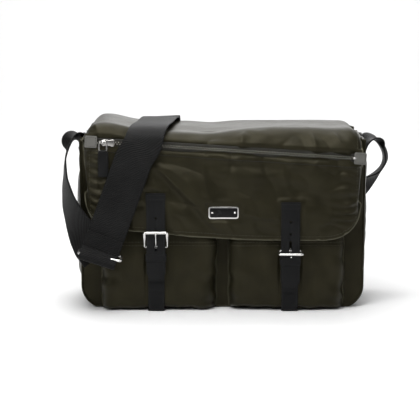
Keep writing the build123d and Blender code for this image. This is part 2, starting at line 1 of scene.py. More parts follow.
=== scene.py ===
"""Looks of a soft messenger bag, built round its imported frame.

Everything is in metres, +Z up, with the front of the bag towards -Y. Places come from the frame's
nodes; the soft pieces are lofted sheets that follow those places.
"""

from __future__ import annotations

import json
import logging
import math
from dataclasses import dataclass, field, replace
from enum import Enum
from typing import Sequence

import bmesh
import bpy
import numpy as np
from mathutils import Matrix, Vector, noise

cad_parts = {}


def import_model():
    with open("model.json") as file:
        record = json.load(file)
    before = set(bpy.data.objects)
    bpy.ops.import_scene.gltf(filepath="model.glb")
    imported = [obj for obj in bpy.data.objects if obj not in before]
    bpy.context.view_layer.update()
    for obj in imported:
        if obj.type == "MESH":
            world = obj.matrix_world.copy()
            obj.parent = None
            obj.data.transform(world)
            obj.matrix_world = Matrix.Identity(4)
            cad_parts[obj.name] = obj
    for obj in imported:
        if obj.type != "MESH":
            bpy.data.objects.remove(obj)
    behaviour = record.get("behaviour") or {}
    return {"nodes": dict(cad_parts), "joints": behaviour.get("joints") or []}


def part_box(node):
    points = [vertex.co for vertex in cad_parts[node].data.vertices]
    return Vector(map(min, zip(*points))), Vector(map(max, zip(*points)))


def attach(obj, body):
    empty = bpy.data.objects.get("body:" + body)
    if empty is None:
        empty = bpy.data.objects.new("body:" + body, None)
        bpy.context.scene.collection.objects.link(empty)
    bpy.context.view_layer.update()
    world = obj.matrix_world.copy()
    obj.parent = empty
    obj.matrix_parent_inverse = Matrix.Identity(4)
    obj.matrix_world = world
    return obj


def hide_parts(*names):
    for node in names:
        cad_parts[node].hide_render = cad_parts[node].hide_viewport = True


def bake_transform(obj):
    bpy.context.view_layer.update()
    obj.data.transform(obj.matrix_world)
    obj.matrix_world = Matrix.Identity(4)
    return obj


LOG = logging.getLogger("bag")
MM = 0.001
Array = np.ndarray
Piece = bpy.types.Object
Socket = bpy.types.NodeSocket
Colour = tuple[float, float, float]
FORWARD = (0.0, -1.0, 0.0)
CREASE = math.radians(40.0)
SIDES = (("left", -1.0), ("right", 1.0))


# ---------------------------------------------------------------- numbers and curves
def ease(low: float, high: float, value: Array) -> Array:
    """Smooth step from 0 at low to 1 at high.

    Args:
        low: Value where the step starts.
        high: Value where the step ends.
        value: Values to map.

    Returns:
        The step at each value.
    """
    t = np.clip((np.asarray(value, float) - low) / (high - low), 0.0, 1.0)
    return t * t * (3.0 - 2.0 * t)


def bump(centre: float, width: float, value: Array) -> Array:
    """Bell curve of height 1 round a centre.

    Args:
        centre: Place of the top.
        width: Distance at which it has fallen to about a third.
        value: Values to map.

    Returns:
        The curve at each value.
    """
    return np.exp(-(((np.asarray(value, float) - centre) / width) ** 2))


def soft_noise(points: Array, size: float, seed: float) -> Array:
    """Smooth noise in about -1 to 1, the same at each run.

    Args:
        points: Points, with their coordinates on the last axis.
        size: Size of the noise's lumps.
        seed: Offset that makes one noise differ from another.

    Returns:
        One value for each point.
    """
    flat = np.asarray(points, float).reshape(-1, 3) / size + seed * 17.31
    values = [noise.noise(Vector(p)) for p in flat]
    return np.array(values).reshape(np.shape(points)[:-1]) * 1.6


def run_along(line: Array) -> Array:
    """Distance of each point from the start of a line."""
    return np.concatenate([[0], np.cumsum(np.linalg.norm(np.diff(line, axis=0), axis=1))])


def length_of(line: Array) -> float:
    """Whole length of a line of points."""
    return float(np.sum(np.linalg.norm(np.diff(line, axis=0), axis=1)))


def points_at(line: Array, run: Array, at: Array) -> Array:
    """Points of a line at given distances along it.

    Args:
        line: Points of the line.
        run: Distance of each point from the start.
        at: Distances wanted.

    Returns:
        One point for each distance.
    """
    return np.stack([np.interp(at, run, line[:, k]) for k in range(line.shape[1])], axis=1)


def smooth_path(points: Sequence[Sequence[float]], count: int) -> Array:
    """Evenly spaced points on a smooth curve through the given ones.

    Args:
        points: Points that the curve passes through.
        count: Number of points wanted.

    Returns:
        An array of count points.
    """
    p = np.asarray(points, float)
    p = np.vstack([2 * p[0] - p[1], p, 2 * p[-1] - p[-2]])
    fine = []
    for a, b, c, d in zip(p[:-3], p[1:-2], p[2:-1], p[3:]):
        for t in np.linspace(0, 1, 24, endpoint=False):
            fine.append(
                0.5 * (2 * b + (c - a) * t + (2 * a - 5 * b + 4 * c - d) * t**2
                       + (3 * b - a - 3 * c + d) * t**3)
            )
    fine.append(p[-2])
    line = np.array(fine)
    along = run_along(line[:, :3])
    return points_at(line, along, np.linspace(0, along[-1], count))


def even_path(points: Sequence[Sequence[float]], count: int, closed: bool = False) -> Array:
    """Evenly spaced points on straight runs through the given ones.

    Args:
        points: Corners of the line.
        count: Number of points wanted.
        closed: Whether the line returns to its start, which is then not repeated.

    Returns:
        An array of count points.
    """
    p = np.asarray(points, float)
    if closed:
        p = np.vstack([p, p[:1]])
    run = run_along(p)
    return points_at(p, run, np.linspace(0, run[-1], count, endpoint=not closed))


def unit(vectors: Array) -> Array:
    """Vectors scaled to length 1, along the last axis."""
    v = np.asarray(vectors, float)
    return v / np.maximum(np.linalg.norm(v, axis=-1, keepdims=True), 1e-12)


def tangents(path: Array, closed: bool = False) -> Array:
    """Unit directions along a path, which may be closed."""
    if closed:
        return unit(np.gradient(np.vstack([path[-1:], path, path[:1]]), axis=0))[1:-1]
    return unit(np.gradient(path, axis=0))


def grid_normals(grid: Array) -> Array:
    """Unit normals of a grid of points, from its two directions.

    Args:
        grid: Points as rows, columns and coordinates.

    Returns:
        Normals in the same layout, along rows cross columns.
    """
    return unit(np.cross(np.gradient(grid, axis=0), np.gradient(grid, axis=1)))


def front_normals(grid: Array, row: int, column: int) -> Array:
    """Unit normals of a grid that faces the front at one of its points."""
    normals = grid_normals(grid)
    return -normals if normals[row, column, 1] > 0 else normals


def stand_up(outline: Array, x: float, y: float, z: float, tilt: float = 0.0) -> Array:
    """Set a flat outline upright in space, facing the front.

    Args:
        outline: Points across and up.
        x: Middle across.
        y: Place in depth.
        z: Middle height.
        tilt: Angle by which its right end drops.

    Returns:
        Points of the outline in space.
    """
    c, s = math.cos(tilt), math.sin(tilt)
    across, up = outline[:, 0], outline[:, 1]
    return np.stack([x + across * c + up * s, np.full(len(outline), y), z - across * s + up * c], -1)


def looped(ring: Array) -> list[Array]:
    """One line that runs round a ring back to its start."""
    return [np.vstack([ring, ring[:1]])]


# ---------------------------------------------------------------- meshes
def linked(name: str, data: bpy.types.ID) -> Piece:
    """A new object with its data, put in the scene."""
    piece = bpy.data.objects.new(name, data)
    bpy.context.scene.collection.objects.link(piece)
    return piece


def mesh_piece(name: str, points: Array, faces: list, finish: Finish,
               uv: Array | None = None) -> Piece:
    """A smooth-shaded mesh object at the origin.

    Args:
        name: Name of the piece.
        points: Vertex places.
        faces: Vertex numbers of each face.
        finish: Finish of the piece.
        uv: Optional place of each vertex on the cloth, in metres.

    Returns:
        The new object.
    """
    mesh = bpy.data.meshes.new(name)
    mesh.from_pydata([tuple(map(float, p)) for p in points], [], [tuple(map(int, f)) for f in faces])
    mesh.polygons.foreach_set("use_smooth", [True] * len(mesh.polygons))
    if uv is not None:
        layer = mesh.uv_layers.new(name="cloth")
        corner = np.empty(len(mesh.loops), int)
        mesh.loops.foreach_get("vertex_index", corner)
        layer.data.foreach_set("uv", np.asarray(uv, np.float32)[corner].ravel())
    mesh.validate()
    mesh.update()
    mesh.materials.append(finish.material())
    return linked(name, mesh)


def turn_outward(piece: Piece) -> Piece:
    """Merge doubles and point every face of a closed piece outwards."""
    shape = bmesh.new()
    shape.from_mesh(piece.data)
    bmesh.ops.remove_doubles(shape, verts=shape.verts, dist=1e-6)
    bmesh.ops.recalc_face_normals(shape, faces=shape.faces)
    shape.to_mesh(piece.data)
    shape.free()
    return piece


def quads(rows: int, columns: int, wrap: bool = False, start: int = 0) -> list:
    """Faces of a grid of vertices stored row by row.

    Args:
        rows: Number of rows.
        columns: Number of columns.
        wrap: Whether the last column joins the first.
        start: Number of the first vertex.

    Returns:
        Four vertex numbers for each face.
    """
    last = columns if wrap else columns - 1
    return [
        (start + i * columns + j, start + i * columns + (j + 1) % columns,
         start + (i + 1) * columns + (j + 1) % columns, start + (i + 1) * columns + j)
        for i in range(rows - 1) for j in range(last)
    ]


def rod_faces(rows: int, sides: int, start: int = 0) -> list:
    """Faces of a rod with closed ends, whose rings of vertices are stored one after another."""
    last = start + (rows - 1) * sides
    ends = [tuple(range(first, first + sides)) for first in (start, last)]
    return quads(rows, sides, wrap=True, start=start) + ends


def sheet_piece(name: str, grid: Array, thickness: float, finish: Finish,
                uv: Array | None = None, normals: Array | None = None) -> Piece:
    """A closed sheet of cloth from a grid of points on its outer face.

    Args:
        name: Name of the piece.
        grid: Points of the outer face, as rows, columns and coordinates.
        thickness: Thickness, put behind the outer face.
        finish: Finish of the piece.
        uv: Optional cloth places, in the grid's layout.
        normals: Optional outward normals, in the grid's layout.

    Returns:
        The new object.
    """
    rows, columns = grid.shape[:2]
    out = grid_normals(grid) if normals is None else normals
    points = np.vstack([grid.reshape(-1, 3), (grid - out * thickness).reshape(-1, 3)])
    count = rows * columns
    faces = quads(rows, columns)
    faces += [tuple(reversed(f)) for f in quads(rows, columns, start=count)]
    border = [j for j in range(columns)]
    border += [i * columns + columns - 1 for i in range(1, rows)]
    border += [(rows - 1) * columns + j for j in range(columns - 2, -1, -1)]
    border += [i * columns for i in range(rows - 2, 0, -1)]
    for a, b in zip(border, border[1:] + border[:1]):
        faces.append((b, a, a + count, b + count))
    cloth = None if uv is None else np.vstack([uv.reshape(-1, 2), uv.reshape(-1, 2)])
    return turn_outward(mesh_piece(name, points, faces, finish, cloth))


def swept_piece(name: str, path: Array, across: Array, out: Array, section: Array,
                finish: Finish, closed: bool = False) -> Piece:
    """A closed profile swept along a path, with cloth places along its length.

    Args:
        name: Name of the piece.
        path: Points of the path.
        across: Direction of the profile's first axis at each point.
        out: Direction of the profile's second axis at each point.
        section: Points of the closed profile.
        finish: Finish of the piece.
        closed: Whether the path ends where it starts.

    Returns:
        The new object.
    """
    rows, columns = len(path), len(section)
    points = path[:, None] + across[:, None] * section[None, :, :1] + out[:, None] * section[None, :, 1:]
    run = run_along(path)
    uv = np.stack(np.broadcast_arrays(section[None, :, 0], run[:, None]), axis=-1)
    faces = quads(rows, columns, wrap=True)
    if closed:
        last = (rows - 1) * columns
        faces += [(last + j, last + (j + 1) % columns, (j + 1) % columns, j) for j in range(columns)]
    else:
        faces.append(tuple(range(columns - 1, -1, -1)))
        faces.append(tuple((rows - 1) * columns + j for j in range(columns)))
    return turn_outward(mesh_piece(name, points.reshape(-1, 3), faces, finish, uv.reshape(-1, 2)))


def band_piece(name: str, path: Array, across: Sequence[float], section: Array, finish: Finish,
               closed: bool = False) -> Piece:
    """A profile swept along a path, with one direction across it all the way.

    Args:
        name: Name of the piece.
        path: Points of the path.
        across: Direction of the profile's first axis.
        section: Points of the closed profile.
        finish: Finish of the piece.
        closed: Whether the path ends where it starts.

    Returns:
        The new object.
    """
    side = np.broadcast_to(np.asarray(across, float), path.shape)
    return swept_piece(name, path, side, np.cross(tangents(path, closed), side), section, finish, closed)


def round_section(radius: float, sides: int = 12) -> Array:
    """Round profile of a tube."""
    turn = np.linspace(0, 2 * math.pi, sides, endpoint=False)
    return np.stack([radius * np.cos(turn), radius * np.sin(turn)], axis=1)


def strip_section(width: float, thickness: float, across: int = 10, edge: int = 4) -> Array:
    """Flat profile of a strap with round edges.

    Args:
        width: Whole width.
        thickness: Whole thickness.
        across: Points on each flat face.
        edge: Points round each edge.

    Returns:
        The profile's points.
    """
    r, half = thickness / 2, width / 2 - thickness / 2
    flat = np.linspace(-half, half, across)
    turn = np.linspace(-math.pi / 2, math.pi / 2, edge + 2)[1:-1]
    right = np.stack([half + r * np.cos(turn), r * np.sin(turn)], axis=1)
    low = np.stack([flat, np.full(across, -r)], axis=1)
    return np.vstack([low, right, -low, -right])


def tube_piece(name: str, path: Array, radius: float, finish: Finish,
               closed: bool = False, sides: int = 12, up: Sequence[float] = (0.3, 0.9, 0.31)
               ) -> Piece:
    """A round tube along a path."""
    along = tangents(path, closed)
    across = unit(np.cross(along, np.broadcast_to(np.asarray(up, float), path.shape)))
    out = unit(np.cross(across, along))
    return swept_piece(name, path, across, out, round_section(radius, sides), finish, closed)


def plate_piece(name: str, outline: Array, thickness: float, edge: float, finish: Finish,
                holes: Sequence[Array] = (), axis: Sequence[float] = FORWARD) -> Piece:
    """A flat plate with softened edges, from an outline in space.

    Args:
        name: Name of the piece.
        outline: Points of the outline on the plate's back.
        thickness: Thickness of the plate.
        edge: Width of the softened edge.
        finish: Finish of the piece.
        holes: Outlines of holes through the plate.
        axis: Unit direction of the thickness.

    Returns:
        The new object.
    """
    shape = bmesh.new()
    edges = []
    for loop in (outline, *holes):
        ring = [shape.verts.new(tuple(p)) for p in loop]
        edges += [shape.edges.new((a, b)) for a, b in zip(ring, ring[1:] + ring[:1])]
    bmesh.ops.triangle_fill(shape, edges=edges, use_beauty=True)
    grown = bmesh.ops.extrude_face_region(shape, geom=shape.faces[:])
    moved = [v for v in grown["geom"] if isinstance(v, bmesh.types.BMVert)]
    bmesh.ops.translate(shape, verts=moved, vec=tuple(np.array(axis) * thickness))
    bmesh.ops.recalc_face_normals(shape, faces=shape.faces)
    rim = [e for e in shape.edges if len(e.link_faces) == 2 and e.calc_face_angle(0) > 1.2]
    bmesh.ops.bevel(shape, geom=rim, offset=edge, segments=3, profile=0.6, affect="EDGES",
                    clamp_overlap=True)
    shape.normal_update()
    for face in shape.faces:
        face.smooth = True
    for e in shape.edges:
        e.smooth = len(e.link_faces) != 2 or e.calc_face_angle(0) < CREASE
    mesh = bpy.data.meshes.new(name)
    shape.to_mesh(mesh)
    shape.free()
    mesh.materials.append(finish.material())
    return linked(name, mesh)


def round_rectangle(width: float, height: float, radius: float, steps: int = 6) -> Array:
    """Outline of a rectangle with round corners, centred on the origin.

    Args:
        width: Whole width.
        height: Whole height.
        radius: Radius of the corners.
        steps: Points on each corner.

    Returns:
        Points of the outline, in order.
    """
    points = []
    corners = ((1, 1, 0.0), (-1, 1, 0.5), (-1, -1, 1.0), (1, -1, 1.5))
    for sx, sy, start in corners:
        for t in np.linspace(start * math.pi, (start + 0.5) * math.pi, steps):
            points.append((sx * (width / 2 - radius) + radius * math.cos(t),
                           sy * (height / 2 - radius) + radius * math.sin(t)))
    return np.array(points)


# ---------------------------------------------------------------- finishes
class Lay(Enum):
    """What a finish's pattern follows."""

    CLOTH = "cloth"
    SPACE = "space"


class Weave(Enum):
    """Kind of weave in a cloth."""

    PLAIN = "plain"
    TWILL = "twill"


class Nodes:
    """Small helper that adds and joins shader or geometry nodes."""

    def __init__(self, tree: bpy.types.NodeTree) -> None:
        """Keeps the tree that nodes are added to."""
        self.tree = tree
        self.count = 0

    def add(self, kind: str, inputs: dict | None = None, **settings: object) -> bpy.types.Node:
        """Add a node.

        Args:
            kind: Blender's name of the node type.
            inputs: Values or sockets for the node's inputs.
            settings: Values set on the node itself.

        Returns:
            The new node.
        """
        node = self.tree.nodes.new(kind)
        node.location = (190 * (self.count % 12), -230 * (self.count // 12))
        self.count += 1
        for key, value in settings.items():
            setattr(node, key, value)
        return self.fill(node, inputs or {})

    def fill(self, node: bpy.types.Node, inputs: dict) -> bpy.types.Node:
        """Set a node's inputs to values, or join sockets to them."""
        for key, value in inputs.items():
            if isinstance(value, Socket):
                self.tree.links.new(value, node.inputs[key])
            else:
                node.inputs[key].default_value = value
        return node

    def math(self, kind: str, a: object, b: object = 0.0) -> Socket:
        """Add a sum of two values or sockets, and return its output."""
        return self.add("ShaderNodeMath", {0: a, 1: b}, operation=kind).outputs[0]

    def cloud(self, vector: Socket, scale: object, detail: float) -> Socket:
        """Add soft noise over a vector, and return its output."""
        inputs = {"Vector": vector, "Scale": scale, "Detail": detail}
        return self.add("ShaderNodeTexNoise", inputs).outputs[0]

    def ramp(self, factor: Socket, dark: Colour, light: Colour,
             ends: tuple[float, float] = (0.0, 1.0)) -> Socket:
        """Add a ramp between two colours, and return its output."""
        node = self.add("ShaderNodeValToRGB", {0: factor})
        for element, colour, end in zip(node.color_ramp.elements, (dark, light), ends):
            element.color = (*colour, 1)
            element.position = end
        return node.outputs[0]

    def mixed(self, factor: Socket, colour: Socket,
              other: Colour) -> Socket:
        """Mix a fixed colour into another one, and return the output."""
        inputs = {"Factor": factor, "A": colour, "B": (*other, 1)}
        return self.add("ShaderNodeMix", inputs, data_type="RGBA").outputs["Result"]

    def varied(self, tone: Socket, spread: float, centre: float) -> Socket:
        """Add a roughness that follows a tone over a spread round a centre."""
        return self.math("ADD", self.math("MULTIPLY", tone, spread), centre - spread / 2)

    def relief(self, height: Socket, distance: float, strength: float) -> Socket:
        """Add a relief of a given height, and return its normal."""
        inputs = {"Height": height, "Distance": distance, "Strength": strength}
        return self.add("ShaderNodeBump", inputs).outputs[0]


def new_group(name: str, kind: str, inputs: dict[str, str], outputs: dict[str, str]
              ) -> tuple[bpy.types.NodeTree, Nodes, bpy.types.Node, bpy.types.Node]:
    """Start a node group with named inputs and outputs.

    Args:
        name: Name of the group.
        kind: Blender's name of the tree type.
        inputs: Name and socket type of each input.
        outputs: Name and socket type of each output.

    Returns:
        The group, its helper, and its input and output nodes.
    """
    tree = bpy.data.node_groups.new(name, kind)
    for way, sockets in (("INPUT", inputs), ("OUTPUT", outputs)):
        for socket, socket_kind in sockets.items():
            tree.interface.new_socket(socket, in_out=way, socket_type="NodeSocket" + socket_kind)
    n = Nodes(tree)
    return tree, n, n.add("NodeGroupInput"), n.add("NodeGroupOutput")


def weave_group(kind: Weave) -> bpy.types.ShaderNodeTree:
    """Shader group that gives a weave's height, tone and dust.

    Args:
        kind: Plain or twill.

    Returns:
        The group, made once.
    """
    name = f"{kind.value}_weave"
    if name in bpy.data.node_groups:
        return bpy.data.node_groups[name]
    tree, n, start, end = new_group(name, "ShaderNodeTree",
                                    {"Vector": "Vector", "Thread": "Float", "Mottle": "Float"},
                                    {"Height": "Float", "Tone": "Float", "Dust": "Float"})
    vector = start.outputs["Vector"]
    split = n.add("ShaderNodeSeparateXYZ", {0: vector})
    turn = n.math("DIVIDE", math.pi, start.outputs["Thread"])
    u, v, w = (n.math("MULTIPLY", split.outputs[k], turn) for k in range(3))
    if kind is Weave.PLAIN:
        first, second = (n.math("SINE", n.math("ADD", side, w)) for side in (u, v))
        threads = n.math("MULTIPLY", first, second)
    else:
        ribs = n.math("SINE", n.math("ADD", n.math("ADD", u, v), w))
        picks = n.math("SINE", n.math("MULTIPLY", v, 3.0))
        threads = n.math("ADD", n.math("MULTIPLY", ribs, 0.8), n.math("MULTIPLY", picks, 0.25))
    fray = n.cloud(vector, 900.0, 3.0)
    high = n.math("ADD", n.math("MULTIPLY", threads, 0.5), n.math("MULTIPLY", fray, 0.5))
    mottle = n.cloud(vector, n.math("DIVIDE", 1.0, start.outputs["Mottle"]), 4.0)
    tone = n.math("ADD", n.math("MULTIPLY", mottle, 0.75), n.math("MULTIPLY", high, 0.3))
    dust = n.math("POWER", n.cloud(vector, 60.0, 6.0), 3.0)
    n.fill(end, {"Height": high, "Tone": tone, "Dust": dust})
    return tree


def grain_group() -> bpy.types.ShaderNodeTree:
    """Shader group of a leather's cross grain, its tone and its edge wear."""
    name = "cross_grain"
    if name in bpy.data.node_groups:
        return bpy.data.node_groups[name]
    tree, n, start, end = new_group(name, "ShaderNodeTree",
                                    {"Vector": "Vector", "Grain": "Float"},
                                    {"Height": "Float", "Tone": "Float", "Wear": "Float"})
    vector = start.outputs["Vector"]
    cells = n.add("ShaderNodeTexVoronoi", {"Vector": vector, "Scale": start.outputs["Grain"]},
                  feature="DISTANCE_TO_EDGE")
    pits = n.math("MINIMUM", n.math("MULTIPLY", cells.outputs["Distance"], 3.0), 0.6)
    height = n.math("ADD", pits, n.math("MULTIPLY", n.cloud(vector, 1400.0, 4.0), 0.3))
    soft = n.cloud(vector, 70.0, 5.0)
    near = n.add("ShaderNodeNewGeometry")
    edge = n.math("SUBTRACT", near.outputs["Pointiness"], 0.5)
    wear = n.math("MINIMUM", n.math("MAXIMUM", n.math("MULTIPLY", edge, 6.0), 0.0), 1.0)
    n.fill(end, {"Height": height, "Tone": soft, "Wear": n.math("MULTIPLY", wear, soft)})
    return tree


@dataclass(frozen=True)
class Finish:
    """A named finish."""

    name: str

    def material(self) -> bpy.types.Material:
        """Make the finish's material, once.

        Returns:
            The material.
        """
        if self.name not in bpy.data.materials:
            made = bpy.data.materials.new(self.name)
            made.use_nodes = True
            n = Nodes(made.node_tree)
            place_at = n.add("ShaderNodeTexCoord").outputs["Object"]
            n.fill(made.node_tree.nodes["Principled BSDF"], self.inputs(n, place_at))
        return bpy.data.materials[self.name]

    def inputs(self, n: Nodes, place_at: Socket) -> dict:
        """Inputs of the main shader.

        Args:
            n: Helper of the material's node tree.
            place_at: Place on the piece, in its own axes.

        Returns:
            Values or sockets for the inputs.
        """
        raise NotImplementedError


@dataclass(frozen=True)
class Cloth(Finish):
    """A woven cloth finish."""

    dark: Colour
    light: Colour
    weave: Weave = Weave.PLAIN
    lay: Lay = Lay.CLOTH
    thread: float = 0.0011
    mottle: float = 0.03
    relief: float = 0.00018
    roughness: float = 0.62
    sheen: float = 0.35
    dust: float = 0.05
    gloss: float = 0.25
    shine: Colour = (1.0, 1.0, 1.0)

    def inputs(self, n: Nodes, place_at: Socket) -> dict:
        """Inputs of the main shader: weave, mottle, dust and sheen."""
        if self.lay is Lay.CLOTH:
            place_at = n.add("ShaderNodeUVMap", uv_map="cloth").outputs[0]
        weave = n.add("ShaderNodeGroup", node_tree=weave_group(self.weave))
        n.fill(weave, {"Thread": self.thread, "Mottle": self.mottle, "Vector": place_at})
        tone = weave.outputs["Tone"]
        plain = n.ramp(tone, self.dark, self.light, (0.15, 0.85))
        dusty = n.math("MULTIPLY", weave.outputs["Dust"], self.dust)
        return {
            "Base Color": n.mixed(dusty, plain, (0.34, 0.33, 0.29)),
            "Roughness": n.varied(tone, 0.16, self.roughness),
            "Normal": n.relief(weave.outputs["Height"], self.relief, 0.8),
            "Sheen Weight": self.sheen,
            "Sheen Roughness": 0.45,
            "Sheen Tint": (*[min(1.0, 9.0 * c) for c in self.light], 1),
            "Specular IOR Level": self.gloss,
            "Specular Tint": (*self.shine, 1),
        }


@dataclass(frozen=True)
class Leather(Finish):
    """A grained leather finish with rubbed edges."""

    dark: Colour
    light: Colour
    roughness: float = 0.46
    grain: float = 950.0

    def inputs(self, n: Nodes, place_at: Socket) -> dict:
        """Inputs of the main shader: grain, soft tone and worn edges."""
        grain = n.add("ShaderNodeGroup", node_tree=grain_group())
        n.fill(grain, {"Grain": self.grain, "Vector": place_at})
        tone = grain.outputs["Tone"]
        worn = n.math("MULTIPLY", grain.outputs["Wear"], 0.5)
        rubbed = tuple(min(1.0, 3.0 * c + 0.03) for c in self.light)
        return {
            "Base Color": n.mixed(worn, n.ramp(tone, self.dark, self.light), rubbed),
            "Roughness": n.varied(tone, 0.2, self.roughness),
            "Normal": n.relief(grain.outputs["Height"], 0.00022, 0.7),
            "Specular IOR Level": 0.16,
        }


@dataclass(frozen=True)
class Metal(Finish):
    """A metal finish with fine brushing and rubbed spots."""

    colour: Colour
    roughness: float = 0.24

    def inputs(self, n: Nodes, place_at: Socket) -> dict:
        """Inputs of the main shader: brushing over a bright metal."""
        mapping = n.add("ShaderNodeMapping", {"Scale": (1.0, 1.0, 6.0), "Vector": place_at})
        rub = n.cloud(mapping.outputs[0], 450.0, 5.0)
        return {
            "Base Color": n.ramp(rub, tuple(c * 0.82 for c in self.colour), self.colour),
            "Roughness": n.varied(rub, 0.16, self.roughness),
            "Normal": n.relief(rub, 0.00003, 0.35),
            "Metallic": 1.0,
        }


@dataclass(frozen=True)
class Floor(Finish):
    """A plain matt floor finish."""

    name: str = "pale_floor"
    tone: float = 0.80

    def inputs(self, n: Nodes, place_at: Socket) -> dict:
        """Inputs of the main shader: one pale tone."""
        return {"Base Color": (self.tone, self.tone, self.tone, 1), "Roughness": 0.8}


NYLON = Cloth("olive_nylon", (0.0074, 0.0067, 0.0037), (0.0220, 0.0198, 0.0108),
              dust=0.015, roughness=0.36, sheen=0.02, gloss=0.14, shine=(1.0, 0.92, 0.66))
NYLON_SPACE = replace(NYLON, name="olive_nylon_flat", lay=Lay.SPACE, dust=0.05)
PIPING = Cloth("olive_piping", (0.040, 0.037, 0.022), (0.070, 0.066, 0.042),
               thread=0.0008, sheen=0.2, dust=0.03)
LINING = Cloth("grey_lining", (0.012, 0.012, 0.0115), (0.026, 0.026, 0.024),
               thread=0.0006, sheen=0.15)
TAPE = Cloth("zip_tape", (0.007, 0.0065, 0.0045), (0.017, 0.016, 0.011),
             weave=Weave.TWILL, thread=0.0007, sheen=0.1)
WEBBING = Cloth("black_webbing", (0.0010, 0.0010, 0.0010), (0.0066, 0.0065, 0.0064),
                weave=Weave.TWILL, thread=0.0019, relief=0.0006, roughness=0.50, sheen=0.04, dust=0.008,
                gloss=0.12)
THREAD = Cloth("olive_thread", (0.026, 0.024, 0.014), (0.050, 0.047, 0.030),
               lay=Lay.SPACE, thread=0.0004, sheen=0.2, dust=0.02)
DARK_THREAD = Cloth("dark_thread", (0.006, 0.006, 0.006), (0.016, 0.016, 0.015),
                    lay=Lay.SPACE, thread=0.0004, sheen=0.15, dust=0.02)
LEATHER = Leather("black_leather", (0.0016, 0.0017, 0.0019), (0.0050, 0.0052, 0.0055),
                  roughness=0.42)
TAB_LEATHER = Leather("grey_tabs", (0.085, 0.083, 0.076), (0.135, 0.132, 0.121),
                      roughness=0.5, grain=700.0)
# Near-black finish for the plate's inset: a painted dark reflection on the plain steel, not an enamel.
PAINTED_DARK_REFLECTION = Leather("dark_enamel", (0.0030, 0.0030, 0.0032), (0.0060, 0.0060, 0.0064),
                 roughness=0.25, grain=300.0)
STEEL = Metal("bright_steel", (0.80, 0.79, 0.77))
ZIP_METAL = Metal("zip_metal", (0.62, 0.61, 0.60), roughness=0.28)
COIL = Metal("dark_coil", (0.55, 0.53, 0.46), roughness=0.42)
BOARD = Leather("stiff_board", (0.020, 0.020, 0.019), (0.034, 0.034, 0.032),
                roughness=0.7, grain=400.0)
MAGNET = Metal("magnet_plate", (0.45, 0.45, 0.46), roughness=0.34)


# ---------------------------------------------------------------- rows of stitches and teeth
def bead_row_tree() -> bpy.types.GeometryNodeTree:
    """Geometry Nodes tree that sets long beads along a line, turned to face outwards.

    Returns:
        The tree, made once.
    """
    name = "bead_row"
    if name in bpy.data.node_groups:
        return bpy.data.node_groups[name]
    tree, n, start, end = new_group(
        name, "GeometryNodeTree",
        {"Line": "Geometry", "Pitch": "Float", "Size": "Vector", "Out": "Vector", "Jitter": "Float",
         "Seed": "Int", "Finish": "Material"},
        {"Beads": "Geometry"})
    given = start.outputs
    curve = n.add("GeometryNodeMeshToCurve", {0: given["Line"]})
    steps = n.add("GeometryNodeResampleCurve", {"Curve": curve.outputs[0], "Length": given["Pitch"]},
                  mode="LENGTH")
    tangent = n.add("GeometryNodeInputTangent")
    face = n.add("FunctionNodeAlignEulerToVector", {"Vector": tangent.outputs[0]}, axis="X")
    level = n.add("FunctionNodeAlignEulerToVector", {"Rotation": face.outputs[0], "Vector": given["Out"]},
                  axis="Z", pivot_axis="X")
    bead = n.add("GeometryNodeMeshUVSphere", {"Segments": 6, "Rings": 5, "Radius": 1.0})
    turn = n.add("GeometryNodeTransform", {"Rotation": (0, math.pi / 2, 0), "Geometry": bead.outputs[0]})
    spread = n.add("FunctionNodeRandomValue", {"Seed": given["Seed"]}, data_type="FLOAT")
    limits = [s for s in spread.inputs if s.name in ("Min", "Max") and s.type == "VALUE"][:2]
    for kind, limit in zip(("SUBTRACT", "ADD"), limits):
        tree.links.new(n.math(kind, 1.0, given["Jitter"]), limit)
    drawn = [s for s in spread.outputs if s.type == "VALUE"][0]
    grow = n.add("ShaderNodeVectorMath", {0: given["Size"], "Scale": drawn}, operation="SCALE")
    beads = n.add("GeometryNodeInstanceOnPoints", {
        "Points": steps.outputs[0], "Instance": turn.outputs[0], "Rotation": level.outputs[0],
        "Scale": grow.outputs[0]})
    real = n.add("GeometryNodeRealizeInstances", {0: beads.outputs[0]})
    smooth = n.add("GeometryNodeSetShadeSmooth", {0: real.outputs[0]})
    coat = n.add("GeometryNodeSetMaterial", {"Geometry": smooth.outputs[0], "Material": given["Finish"]})
    n.fill(end, {0: coat.outputs[0]})
    return tree


@dataclass(frozen=True)
class BeadRow:
    """Sizes of one kind of bead row."""

    pitch: float
    size: tuple[float, float, float]
    finish: Finish
    out: tuple[float, float, float] = (0.0, -1.0, 0.0)
    jitter: float = 0.0

    def build(self, name: str, lines: Sequence[Array]) -> Piece:
        """Set beads along lines and turn them into one plain mesh.

        Args:
            name: Name of the piece.
            lines: Points of each line.

        Returns:
            The new piece.
        """
        mesh = bpy.data.meshes.new(name + "_line")
        points, edges = [], []
        for line in lines:
            first = len(points)
            points += [tuple(map(float, p)) for p in line]
            edges += [(first + i, first + i + 1) for i in range(len(line) - 1)]
        mesh.from_pydata(points, edges, [])
        guide = linked(name + "_line", mesh)
        modifier = guide.modifiers.new("beads", "NODES")
        tree = bead_row_tree()
        modifier.node_group = tree
        values = {"Pitch": self.pitch, "Size": self.size, "Out": self.out, "Jitter": self.jitter,
                  "Seed": 7, "Finish": self.finish.material()}
        for item in tree.interface.items_tree:
            if item.in_out == "INPUT" and item.name in values:
                modifier[item.identifier] = values[item.name]
        bpy.context.view_layer.update()
        seen = guide.evaluated_get(bpy.context.evaluated_depsgraph_get())
        plain = bpy.data.meshes.new_from_object(seen)
        guide.modifiers.clear()
        bpy.data.objects.remove(guide)
        plain.name = name
        if not len(plain.materials):
            plain.materials.append(self.finish.material())
        return linked(name, plain)


